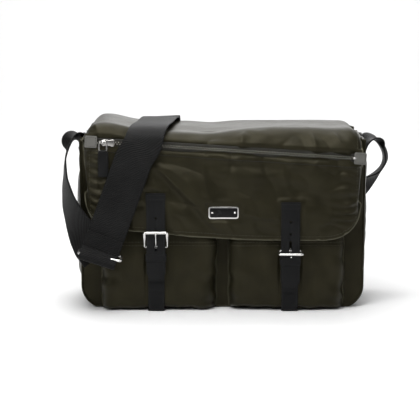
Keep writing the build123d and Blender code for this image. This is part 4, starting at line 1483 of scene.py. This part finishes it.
@dataclass
class Zip:
    """The zip in the flap: tape, coil, end tabs, slider, bail and leather pull."""

    line: ZipLine
    front: float

    def build(self) -> None:
        """Build every piece of the zip."""
        self.tape()
        self.coil()
        self.tabs()
        self.slider()
        self.bail()
        self.pull()

    def tape(self) -> None:
        """Two ribbed tapes that fill the slot."""
        along = np.linspace(-4 * MM, self.line.length + 4 * MM, 150)
        for side, way in (("upper", 1.0), ("lower", -1.0)):
            grid = np.array([self.line.point(along, way * across * MM, self.front + depth * MM)
                             for across, depth in ((0.5, 1.0), (2.0, 1.25), (3.6, 1.4), (5.6, 1.5))])
            face = np.broadcast_to(FORWARD, grid.shape)
            cloth = np.stack(np.broadcast_arrays(np.arange(4)[:, None] * 1.7 * MM, along[None]), -1)
            piece = sheet_piece(f"{side}_tape", grid, 0.6 * MM, TAPE, cloth, face)
            place(piece, "flap", "tape_cloth", f"zip_tape_{side}")

    def coil(self) -> None:
        """Rows of interlocking coil teeth."""
        along = np.linspace(0, self.line.length, 120)
        row = BeadRow(3.6 * MM, (0.68 * MM, 0.9 * MM, 1.1 * MM), COIL)
        for side, way, shift in (("upper", 1.0, 0.0), ("lower", -1.0, row.pitch / 2)):
            path = self.line.point(along + shift, way * 1.15 * MM, self.front + 0.1 * MM)
            place(row.build(f"{side}_coil", [path]), "flap", "zip_metal", f"zip_teeth_{side}")
        ends = self.line.length + np.array([-2 * MM, 2 * MM])
        stop = self.line.point(ends, 0, self.front - 0.2 * MM)
        stops = tube_piece("zip_end_stops", np.vstack([stop[0], stop.mean(axis=0), stop[1]]), 1.9 * MM,
                           ZIP_METAL, sides=10)
        place(stops, "flap", "zip_metal", "zip_stops")

    def tabs(self) -> None:
        """Grey end tabs with their stitches."""
        tilt = self.line.tilt
        row = BeadRow(2.6 * MM, (0.95 * MM, 0.3 * MM, 0.3 * MM), DARK_THREAD)
        for side, at in (("left", -7.5 * MM), ("right", self.line.length + 7.5 * MM)):
            low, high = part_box(f"zip_tab_{side}")
            x, _, z = self.line.point(np.array([at]), 0, high.y)[0]
            ring = stand_up(round_rectangle(16 * MM, 15.5 * MM, 1.8 * MM, 5), x, high.y - 0.05 * MM, z, tilt)
            tab = plate_piece(f"end_tab_{side}", ring, high.y - low.y + 0.3 * MM, 0.4 * MM, TAB_LEATHER)
            place(tab, "flap", "tab_leather", f"zip_tab_{side}")
            inner = round_rectangle(12.2 * MM, 11.8 * MM, 1.0 * MM, 4)
            path = stand_up(inner, x, low.y - 0.35 * MM, z, tilt)
            place(row.build(f"end_tab_{side}_stitches", looped(path)), "flap", "leather")

    def slider(self) -> None:
        """Slider with a waisted top plate, side rails and a post."""
        low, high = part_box("zip_slider")
        x, _, z = self.line.point(np.array([15.0 * MM]), 0, 0.0)[0]
        across = np.array([-8.5, -7.6, -5.5, -2, 2, 5.5, 7.6, 8.5])
        u = np.concatenate([across, across[::-1]])
        half = np.array([2.0, 3.6, 4.5, 4.0, 3.7, 4.7, 4.6, 3.2])
        v = np.concatenate([half, -half[::-1]])
        back_y = high.y + 1.4 * MM
        plate_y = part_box("zip_bail")[1].y
        ring = stand_up(np.c_[u, v] * MM, x, back_y, z, self.line.tilt)
        body = plate_piece("slider_body", ring, back_y - plate_y - 0.5 * MM, 0.8 * MM, ZIP_METAL)
        place(body, "slider", "zip_metal", "zip_slider")
        x, _, z = self.line.point(np.array([8.5 * MM]), 0, 0.0)[0]
        radii, sides = (1.9, 1.4, 1.3, 1.3, 1.5, 2.4), 14
        rows, section = len(radii), round_section(1.0, sides)
        points = []
        for y, r in zip(np.linspace(plate_y + 1.6 * MM, low.y, rows), radii):
            points += [(x + r * MM * a, y, z + r * MM * b) for a, b in section]
        pin = turn_outward(mesh_piece("slider_post", points, rod_faces(rows, sides), ZIP_METAL))
        place(pin, "slider", "zip_metal")

    def bail(self) -> None:
        """Wire arch that hangs on the slider's post and holds the pull."""
        low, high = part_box("zip_bail")
        outline = round_rectangle(high.x - low.x - 2.0 * MM, high.z - low.z - 2.0 * MM, 4.2 * MM, 7)
        path = stand_up(outline, (low.x + high.x) / 2, (low.y + high.y) / 2, (low.z + high.z) / 2)
        closed = even_path(path, 96, closed=True)
        bail = tube_piece("pull_bail", closed, 1.05 * MM, ZIP_METAL, closed=True, up=(0, 1, 0))
        place(bail, "bail", "zip_metal", "zip_bail")

    def pull(self) -> None:
        """Leather pull folded round the bail's lower bar, with stitched edges."""
        low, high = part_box("zip_pull")
        width, x = high.x - low.x, (low.x + high.x) / 2
        y = (low.y + high.y) / 2
        top = high.z - 0.2 * MM
        height, z = top - low.z, (top + low.z) / 2 - 1.2 * MM
        outline = round_rectangle(width - 0.4 * MM, height - 2.4 * MM, 2.6 * MM, 6)
        tab = plate_piece("pull_tab", stand_up(outline, x, y + 1.25 * MM, z), 2.5 * MM, 0.6 * MM, LEATHER)
        place(tab, "pull", "leather", "zip_pull")
        across = np.linspace(x - width * 0.33, x + width * 0.33, 8)
        roll = np.stack([across, np.full(8, y - 0.5 * MM), np.full(8, top - 2.4 * MM)], -1)
        place(tube_piece("pull_roll", roll, 1.9 * MM, LEATHER, sides=16), "pull", "leather")
        inner = round_rectangle(width - 3.6 * MM, height - 5.6 * MM, 1.6 * MM, 4)
        row = BeadRow(2.7 * MM, (1.0 * MM, 0.3 * MM, 0.3 * MM), DARK_THREAD)
        ring = looped(stand_up(inner, x, y - 1.35 * MM, z))
        place(row.build("pull_stitches", ring), "pull", "leather")


@dataclass
class Closure:
    """One leather closure: belt, loop, buckle, prong, keeper and the strap on the pocket."""

    side: str
    lean: float
    pivot: tuple[float, float, float]

    def belt(self) -> None:
        """Belt with a pointed round end, punched holes and stitched edges."""
        low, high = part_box(f"belt_{self.side}")
        x, half = (low.x + high.x) / 2, (high.x - low.x) / 2
        round_end = np.linspace(0, -math.pi, 15)
        end = np.stack([x + half * np.cos(round_end), low.z + 9 * MM + 9 * MM * np.sin(round_end)], -1)
        start = [[x - half, high.z], [x - half * 0.2, high.z + 0.3 * MM], [x + half, high.z]]
        outline = np.vstack([start, end])
        heel_z = Vector(self.pivot).z
        hole, slot = round_section(1.6 * MM, 18), round_rectangle(3.2 * MM, 19.0 * MM, 1.55 * MM, 5)
        holes = [stand_up(shape, x, high.y, heel_z + up * MM)
                 for shape, up in ((hole, 23.2), (hole, 39.6), (slot, 4.75))]
        piece = plate_piece(f"belt_{self.side}_leather", stand_up(outline, 0.0, high.y, 0.0),
                            high.y - low.y, 0.55 * MM, LEATHER, holes)
        place(piece, "flap", "leather", f"belt_{self.side}")
        band = round_rectangle(2 * (half + 0.5 * MM), 10.5 * MM, 1.4 * MM, 4)
        top = plate_piece(f"belt_{self.side}_fold", stand_up(band, x, low.y, high.z - 5 * MM), 0.9 * MM,
                          0.35 * MM, LEATHER)
        place(top, "flap", "leather", f"belt_seat_{self.side}")
        inset = 2.0 * MM
        y = low.y - 0.1 * MM
        lines = []
        for way in (-1, 1):
            z = np.linspace(high.z - 12 * MM, low.z + 12 * MM, 12)
            lines.append(np.stack([np.full(12, x + way * (half - inset)), np.full(12, y), z], -1))
        bar = np.linspace(x - half + inset, x + half - inset, 6)
        for down in (2.6 * MM, 8.2 * MM):
            lines.append(np.stack([bar, np.full(6, y - 0.9 * MM), np.full(6, high.z - down)], -1))
        place(LEATHER_SEAM.build(f"belt_{self.side}_stitches", lines), "flap", "leather")

    @staticmethod
    def axes(degrees: float) -> tuple[Array, Array]:
        """Directions of a part that leans forward: from the heel up, and out of its face."""
        a = math.radians(degrees)
        return np.array([0, -math.sin(a), math.cos(a)]), np.array([0, -math.cos(a), -math.sin(a)])

    def buckle(self) -> None:
        """Buckle frame with a thick bar and tapered legs, and its prong with a bent tip."""
        heel = np.array(self.pivot)
        u, (v, w) = np.array([1.0, 0, 0]), self.axes(self.lean)
        half, top, sides, rows, bar_rows = 15.0 * MM, 22.0 * MM, 14, 96, 10
        legs = [(-half, 0.0), (-half, top - 1.6 * MM), (-half + 0.5 * MM, top - 0.5 * MM),
                (-half + 1.6 * MM, top)]
        corners = legs + [(-a, b) for a, b in reversed(legs)]
        path = even_path(np.array([heel + u * a + v * b for a, b in corners]), rows)
        out = np.broadcast_to(w, path.shape)
        side = np.cross(tangents(path), out)
        level = (path - heel) @ v
        size = 1.15 * MM + 0.85 * MM * ease(0.002, 0.020, level)
        ring = round_section(1.0, sides)
        shape = path[:, None] + side[:, None] * (ring[None, :, :1] * size[:, None, None])
        shape = shape + out[:, None] * (ring[None, :, 1:] * (0.85 * size)[:, None, None])
        points = shape.reshape(-1, 3)
        faces = rod_faces(rows, sides) + rod_faces(bar_rows, sides, len(points))
        bar = np.array([heel + u * a for a in np.linspace(-half, half, bar_rows)])
        bar_ring = bar[:, None] + (v * ring[None, :, :1] + w * ring[None, :, 1:]) * 1.0 * MM
        points = np.vstack([points, bar_ring.reshape(-1, 3)])
        piece = turn_outward(mesh_piece(f"buckle_{self.side}_frame", points, faces, STEEL))
        place(piece, f"buckle_{self.side}", "steel", f"buckle_{self.side}")
        v, w = self.axes(self.lean + 8.5)
        turn = np.linspace(-1.2 * math.pi, 0.35, 18)
        path = [heel + (v * math.sin(t) + w * math.cos(t)) * 2.05 * MM for t in turn]
        path += [heel + v * d * MM + w * h * MM
                 for d, h in ((3.2, 1.6), (8, 0.9), (14, 0.6), (19, 0.7), (22.5, 0.5), (24.2, -0.4))]
        prong = tube_piece(f"prong_{self.side}_wire", smooth_path(np.array(path), 70), 0.9 * MM, STEEL,
                           up=(1, 0.02, 0.02))
        place(prong, f"prong_{self.side}", "steel", f"prong_{self.side}")

    def loop(self) -> None:
        """Leather loop that carries the heel bar, in two arms either side of the prong."""
        heel = np.array(self.pivot)
        low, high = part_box(f"buckle_loop_{self.side}")
        turn = np.linspace(math.pi * 1.25, 0, 20)
        radius = high.y - heel[1] - 0.45 * MM
        arc = [(heel[1] + radius * math.cos(t), heel[2] + radius * math.sin(t)) for t in turn]
        down = [(heel[1] + radius, z) for z in np.linspace(heel[2] - 3 * MM, low.z, 12)]
        line = np.array(arc + down)
        for way, part in ((-1, "outer"), (1, "inner")):
            path = np.c_[np.full(len(line), heel[0] + way * 7.75 * MM), line]
            piece = band_piece(f"buckle_loop_{self.side}_{part}", path, (1, 0, 0),
                               strip_section(9.4 * MM, 0.85 * MM, 6, 3), LEATHER)
            place(piece, "flap", "leather", f"buckle_loop_{self.side}")

    def keeper(self) -> None:
        """Closed leather band round the belt."""
        low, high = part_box(f"keeper_{self.side}")
        outline = round_rectangle(high.x - low.x - 0.9 * MM, high.y - low.y - 0.9 * MM, 1.6 * MM, 6)
        loop = np.array((low + high) / 2) + np.c_[outline, np.zeros(len(outline))]
        piece = band_piece(f"keeper_{self.side}_band", even_path(loop, 120, closed=True), (0, 0, 1),
                           strip_section(high.z - low.z, 1.3 * MM, 6, 4), LEATHER, closed=True)
        place(piece, "flap", "leather", f"keeper_{self.side}")

    def lower(self) -> None:
        """Strap on the pocket that the belt's magnet meets."""
        low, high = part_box(f"lower_strap_{self.side}")
        x, half = (low.x + high.x) / 2, (high.x - low.x) / 2
        count = 50
        z = np.linspace(high.z, low.z - 1.2 * MM, count)
        y = np.full(count, (low.y + high.y) / 2)
        for at, deep in ((0.026, 0.7), (0.041, 0.8), (0.059, 0.6)):
            y += deep * MM * bump(at, 0.0022, z)
        path = np.stack([np.full(count, x), y, z], -1)
        piece = band_piece(f"lower_strap_{self.side}_leather", path, (1, 0, 0),
                           strip_section(2 * half, high.y - low.y, 8, 4), LEATHER)
        place(piece, "root", "leather", f"lower_strap_{self.side}")
        lines = [path[3:-3] + [way * (half - 1.8 * MM), -1.08 * MM, 0] for way in (-1, 1)]
        place(LEATHER_SEAM.build(f"lower_strap_{self.side}_stitches", lines), "root", "leather")

    def build(self) -> None:
        """Build the whole closure."""
        self.belt()
        self.loop()
        self.buckle()
        self.keeper()
        self.lower()


@dataclass
class BlankPlate:
    """Plain metal plate with softened edges and two rivets, and a dark inset on its face that paints its
    reflection.
    """

    def build(self) -> None:
        """Build the plate, the dark inset that paints its reflection, and its rivets."""
        low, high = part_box("blank_plate")
        x, z = (low.x + high.x) / 2, (low.z + high.z) / 2
        wide, tall = high.x - low.x, high.z - low.z
        ring = stand_up(round_rectangle(wide, tall, 3.2 * MM, 6), x, high.y, z)
        plate = plate_piece("plain_plate", ring, high.y - low.y, 0.5 * MM, STEEL)
        place(plate, "flap", "steel", "blank_plate")
        inner = round_rectangle(wide - 3.4 * MM, tall - 3.4 * MM, 1.8 * MM, 6)
        ring = stand_up(inner, x, low.y + 0.5 * MM, z)
        # Dark inset on the plate's face: a painted dark reflection of the steel.
        inset = plate_piece("plain_plate_inset", ring, 0.62 * MM, 0.2 * MM, PAINTED_DARK_REFLECTION)
        place(inset, "flap", "steel")
        line = np.array([[end, low.y, z] for end in (low.x + 5 * MM, high.x - 5 * MM)])
        gap = float(line[1, 0] - line[0, 0])
        rivets = BeadRow(gap * 0.999, (1.7 * MM, 1.7 * MM, 0.7 * MM), STEEL)
        place(rivets.build("plain_plate_rivets", [line]), "flap", "steel", "plate_rivets")


@dataclass
class Strap:
    """The webbing strap: over the top, down the front, and the loops at both sides."""

    width: float = 50 * MM
    thick: float = 2.2 * MM

    def ribbon(self, name: str, stations: Sequence[tuple], count: int = 90,
               ripple: float = 0.5 * MM, part: slice = slice(None)) -> Piece:
        """A webbing ribbon through stations.

        Args:
            name: Name of the piece.
            stations: Middle of the ribbon and its direction across, at each station.
            count: Rows along the ribbon.
            ripple: Height of its small waves.
            part: Rows of the line that this piece covers.

        Returns:
            The new piece.
        """
        table = np.array([[*p, *a] for p, a in stations], float)
        fine = smooth_path(table, count)
        path, across = fine[:, :3], unit(fine[:, 3:])
        along = tangents(path)
        across = unit(across - along * np.sum(across * along, axis=1, keepdims=True))
        out = np.cross(across, along)
        path = path + out * (ripple * soft_noise(path, 0.04, 21.0))[:, None]
        path, across, out = path[part], across[part], out[part]
        section = strip_section(self.width, self.thick, 16, 4)
        section[:, 1] += 0.25 * MM * (np.abs(section[:, 0]) / (self.width / 2)) ** 6
        LOG.info("%s is %.0f mm long", name, length_of(path) / MM)
        return swept_piece(name, path, across, out, section, WEBBING)

    def declare(self, piece: Piece, stations: Sequence[tuple], rests: str,
                part: slice = slice(None), count: int = 90) -> None:
        """Take a ribbon, or a part of one, and do nothing with it."""

    def build(self) -> None:
        """Build every ribbon, the adjuster ring and the anchors."""
        self.front()
        self.side_loops()
        self.rear()
        self.ring()
        self.anchors()

    def front(self) -> None:
        """Ribbon over the flap's top and down its front to the ring, with its folded end."""
        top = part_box("strap_crest")[1].z + 0.7 * MM
        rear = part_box("flap_hinge_strip")[1].y + 2.4 * MM
        low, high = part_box("strap_front")
        y = (low.y + high.y) / 2
        stations = [
            ((-0.0842, rear - 4.0 * MM, top - 2.0 * MM), (1, 0.05, 0)),
            ((-0.0870, 0.030, top), (1, -0.08, 0)),
            ((-0.0905, -0.015, top), (1, -0.12, 0)),
            ((-0.0950, -0.055, top - 0.8 * MM), (1, -0.14, 0)),
            ((-0.0985, -0.082, top - 3.0 * MM), (1, -0.15, -0.03)),
            ((-0.1015, y + 5.5 * MM, top - 11.0 * MM), (0.99, -0.10, -0.10)),
            ((-0.1055, y + 1.0 * MM, top - 24.0 * MM), (0.965, -0.03, -0.24)),
        ]
        x0, slant, high_z = -0.101, 0.37, high.z
        for i, h in enumerate(np.linspace(high.z - 40 * MM, low.z + 9 * MM, 6)):
            bow = 1.2 * MM * math.sin(i * 1.9)
            middle_x = x0 - slant * (high_z - h)
            stations.append(((middle_x, y - bow, h), (0.95, 0.03 * math.sin(i * 1.3), -0.31)))
        piece = self.ribbon("strap_front_web", stations, 190, 0.7 * MM)
        place(piece, "strap", "webbing", "strap_crest", "strap_front")
        self.declare(piece, stations, "flap_cloth")
        tail_low, tail_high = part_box("strap_tail")
        y_tail = (tail_low.y + tail_high.y) / 2
        z = np.array([tail_high.z + 3 * MM, tail_high.z - 3 * MM, tail_low.z + 9 * MM, tail_low.z + 1 * MM])
        stations = [((x0 - slant * (high_z - h), y_tail - 0.6 * MM, h), (0.95, 0, -0.31)) for h in z[:3]]
        for lead, drop in ((3.4, -6.0), (8.6, 0.0), (10.6, 4.5), (8.8, 8.6), (3.0, 8.6)):
            h = z[-1] - drop * MM
            stations.append(((x0 - slant * (high_z - h), y_tail - lead * MM, h), (0.95, 0, -0.31)))
        tail = self.ribbon("strap_fold_over", stations, 44, 0.2 * MM)
        place(tail, "strap", "webbing", "strap_tail")
        steps = np.linspace(-22 * MM, 22 * MM, 8)
        depth = np.full(len(steps), y_tail - 1.35 * MM)
        edge = [np.stack([x0 - slant * (high_z - h) + steps, depth, h - 0.33 * steps], -1)
                for h in (z[0] - 5 * MM, z[0] - 8 * MM)]
        place(LEATHER_SEAM.build("strap_fold_stitches", edge), "strap", "leather")

    def side_loops(self) -> None:
        """The loops that leave the anchors at both sides."""
        left = [
            ((-0.1935, 0, 0.198), (0, -1, 0)), ((-0.1945, 0, 0.212), (0, -1, 0)),
            ((-0.1980, -0.002, 0.2225), (0.0, -1, 0)), ((-0.2045, -0.010, 0.2240), (0.02, -1, 0)),
            ((-0.2100, -0.020, 0.2140), (0.05, -1, 0)), ((-0.2135, -0.029, 0.200), (0.08, -0.99, 0)),
            ((-0.2140, -0.039, 0.185), (0.14, -0.98, 0)), ((-0.2125, -0.051, 0.165), (0.26, -0.96, 0)),
            ((-0.2070, -0.066, 0.145), (0.44, -0.90, 0)), ((-0.1975, -0.0795, 0.125), (0.64, -0.77, -0.05)),
            ((-0.1865, -0.0890, 0.107), (0.83, -0.52, -0.16)),
            ((-0.1750, -0.0945, 0.0925), (0.92, -0.18, -0.28)),
            ((-0.1640, -0.0968, 0.0790), (0.94, -0.02, -0.32)),
        ]
        piece = self.ribbon("strap_left_upper", left, 190, 0.3 * MM, slice(0, 101))
        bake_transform(piece)
        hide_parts("strap_left")
        self.declare(piece, left, "strap_anchor_left", slice(0, 101), 190)
        piece = self.ribbon("strap_left_lower", left, 190, 0.3 * MM, slice(100, 190))
        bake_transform(piece)
        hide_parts("strap_left")
        self.declare(piece, left, "adjuster_ring_wire", slice(100, 190), 190)
        right = [
            ((0.1935, 0, 0.198), (0, -1, 0)), ((0.1950, 0, 0.211), (0, -1, 0)),
            ((0.2005, 0.002, 0.2205), (0, -1, 0)), ((0.2095, 0.008, 0.2225), (0, -1, 0)),
            ((0.2190, 0.016, 0.213), (-0.06, -1, 0)), ((0.2255, 0.026, 0.198), (-0.14, -0.99, 0)),
            ((0.2240, 0.038, 0.182), (-0.25, -0.97, 0)), ((0.2120, 0.053, 0.166), (-0.42, -0.90, 0.1)),
            ((0.1940, 0.0665, 0.150), (-0.62, -0.55, 0.5)), ((0.1800, 0.0700, 0.138), (-0.55, -0.22, 0.78)),
        ]
        piece = self.ribbon("strap_right_web", right, 130, 0.3 * MM)
        place(piece, "root", "webbing", "strap_right")
        self.declare(piece, right, "strap_anchor_right")

    def rear(self) -> None:
        """The run of the strap behind the bag, up to the hinge."""
        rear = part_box("flap_hinge_strip")[1].y + 4.6 * MM
        stations = [
            ((0.1800, 0.0700, 0.138), (-0.55, -0.22, 0.78)), ((0.160, 0.0668, 0.1265), (-0.3, -0.05, 0.95)),
            ((0.120, 0.0650, 0.1180), (0.0, 0, 1)), ((0.070, 0.0645, 0.1185), (0.12, 0, 0.99)),
            ((0.020, 0.0645, 0.1280), (0.30, 0, 0.95)), ((-0.025, 0.0645, 0.1530), (0.62, 0, 0.78)),
            ((-0.062, rear, 0.1860), (0.86, 0, 0.50)), ((-0.078, rear, 0.2130), (0.97, 0, 0.22)),
            ((-0.083, rear - 0.3 * MM, 0.2320), (1, 0, 0.05)),
            ((-0.0838, rear - 1.8 * MM, 0.2440), (1, 0, 0.0)),
            ((-0.0842, rear - 7.5 * MM, 0.2500), (1, 0.03, 0.0)),
        ]
        piece = self.ribbon("strap_rear_web", stations, 190, 0.5 * MM)
        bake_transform(piece)
        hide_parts("strap_rear")
        self.declare(piece, stations, "back_cloth")

    def ring(self) -> None:
        """Wire ring that joins the two parts of the strap."""
        low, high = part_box("adjuster_ring")
        centre = np.array((low + high) / 2)
        lean, tilt = math.atan(0.37) / 2, math.radians(78)
        u = np.array([math.cos(lean), 0, -math.sin(lean)])
        w = np.array([math.sin(lean) * math.sin(tilt), -math.cos(tilt), math.cos(lean) * math.sin(tilt)])
        v = np.cross(w, u)
        outline = round_rectangle(56.5 * MM, 15.5 * MM, 3.6 * MM, 6)
        path = centre + u * outline[:, :1] + v * outline[:, 1:]
        closed = even_path(path, 160, closed=True)
        wire = tube_piece("adjuster_ring_wire", closed, 1.7 * MM, STEEL, closed=True, up=tuple(w))
        place(wire, "strap", "steel", "adjuster_ring")

    def anchors(self) -> None:
        """Leather anchors on the gussets, with a ring of stitches."""
        for side, way in SIDES:
            low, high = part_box(f"strap_anchor_{side}")
            centre = (low + high) / 2
            outline = round_rectangle(high.y - low.y, high.z - low.z, 4 * MM, 6)
            face_x = low.x if way > 0 else high.x
            ring = np.c_[np.full(len(outline), face_x), centre.y + outline[:, 0], centre.z + outline[:, 1]]
            piece = plate_piece(f"anchor_{side}", ring, high.x - low.x, 0.7 * MM, LEATHER,
                                axis=(way, 0, 0))
            place(piece, "root", "leather", f"strap_anchor_{side}")
            x = (high.x if way > 0 else low.x) + way * 0.1 * MM
            inner = round_rectangle(high.y - low.y - 5 * MM, high.z - low.z - 5 * MM, 2.4 * MM, 4)
            loop = np.c_[np.full(len(inner), x), centre.y + inner[:, 0], centre.z + inner[:, 1]]
            row = BeadRow(3.2 * MM, (1.15 * MM, 0.32 * MM, 0.32 * MM), DARK_THREAD, (way, 0, 0), 0.05)
            place(row.build(f"anchor_{side}_stitches", looped(loop)), "root", "leather")


@dataclass(frozen=True)
class Lamp:
    """A square soft light that faces a point: its place, its side in metres and its power in watts."""

    name: str
    place_at: tuple[float, float, float]
    size: float
    power: float
    aim_at: tuple[float, float, float] = (0.0, -0.03, 0.12)

    def build(self) -> None:
        """Add the light to the scene."""
        data = bpy.data.lights.new(self.name, "AREA")
        data.shape = "SQUARE"
        data.size = self.size
        data.energy = self.power
        lamp = linked(self.name, data)
        lamp.location = self.place_at
        aim = Vector(self.aim_at) - Vector(self.place_at)
        lamp.rotation_euler = aim.to_track_quat("-Z", "Y").to_euler()


LAMPS = (
    Lamp("over_light", (-0.10, -0.15, 1.5), 1.4, 16.5),
    Lamp("left_light", (-1.0, -1.1, 0.95), 0.5, 7.5),
    Lamp("flap_light", (-0.05, -0.46, 0.66), 0.35, 2.8, (0.02, -0.08, 0.17)),
    Lamp("right_light", (1.6, -0.6, 0.9), 0.7, 3.5),
    Lamp("back_light", (0.2, 1.4, 1.0), 1.0, 4.0),
    Lamp("wall_light", (0.0, 0.9, 2.4), 2.0, 70.0, (0.0, 2.8, 0.9)),
)


@dataclass
class Studio:
    """Pale floor, soft lights and the camera."""

    elevation: float = math.radians(9.5)
    distance: float = 1.8
    seen_width: float = 0.559
    target: tuple[float, float, float] = (-0.0170, -0.08, 0.1380)

    def floor(self) -> None:
        """Floor that turns up into a backdrop far behind the bag."""
        turn = np.linspace(0, math.pi / 2, 12)
        line = [(-3.0, 0.0), (1.8, 0.0)]
        line += [(1.8 + 0.9 * math.sin(t), 0.9 - 0.9 * math.cos(t)) for t in turn[1:]]
        line += [(2.7, 3.4)]
        points = [(x, y, z) for y, z in line for x in (-4.0, 4.0)]
        faces = [(2 * i, 2 * i + 1, 2 * i + 3, 2 * i + 2) for i in range(len(line) - 1)]
        sweep = mesh_piece("studio_floor", points, faces, Floor())

    def build(self) -> None:
        """Build the floor, the lights, the surroundings and the camera."""
        self.floor()
        for lamp in LAMPS:
            lamp.build()
        world = bpy.data.worlds.new("soft_room")
        world.use_nodes = True
        back = world.node_tree.nodes["Background"]
        back.inputs["Color"].default_value = (1.0, 1.0, 1.0, 1)
        back.inputs["Strength"].default_value = 0.13
        bpy.context.scene.world = world
        data = bpy.data.cameras.new("view")
        data.sensor_width = 36.0
        data.lens = 36.0 * self.distance / self.seen_width
        camera = linked("view", data)
        e = self.elevation
        way = Vector((0, -math.cos(e), math.sin(e)))
        camera.location = Vector(self.target) + way * self.distance
        camera.rotation_euler = (-way).to_track_quat("-Z", "Y").to_euler()
        bpy.context.scene.camera = camera
        bpy.context.scene.view_settings.view_transform = "Standard"


def dress_frame(frame: dict) -> None:
    """Give each CAD node that stays in sight its finish.

    Args:
        frame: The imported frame.
    """
    for name, node in frame["nodes"].items():
        if node.hide_render:
            continue
        finish = MAGNET if "_magnet_" in name else NYLON_SPACE
        LOG.info("node %s is shown in %s", name, finish.name)
        node.data.materials.clear()
        node.data.materials.append(finish.material())


def main() -> None:
    """Build the bag round its frame."""
    logging.basicConfig(level=logging.INFO, format="%(message)s")
    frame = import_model()
    pivots = {joint["name"]: tuple(joint["pos_m"]) for joint in frame["joints"] if "pos_m" in joint}
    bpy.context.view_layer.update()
    Studio().build()
    line = ZipLine()
    flap = Flap(line)
    Shell().build()
    for side, seed in (("left", 31.0), ("right", 47.0)):
        Pocket(side, seed).build()
    flap.build()
    Zip(line, flap.front).build()
    BlankPlate().build()
    for side, lean in (("left", 22.0), ("right", 92.0)):
        Closure(side, lean, pivots[f"buckle_{side}_turn"]).build()
    Strap().build()
    dress_frame(frame)
    bpy.context.view_layer.update()


if __name__ == "__main__":
    main()
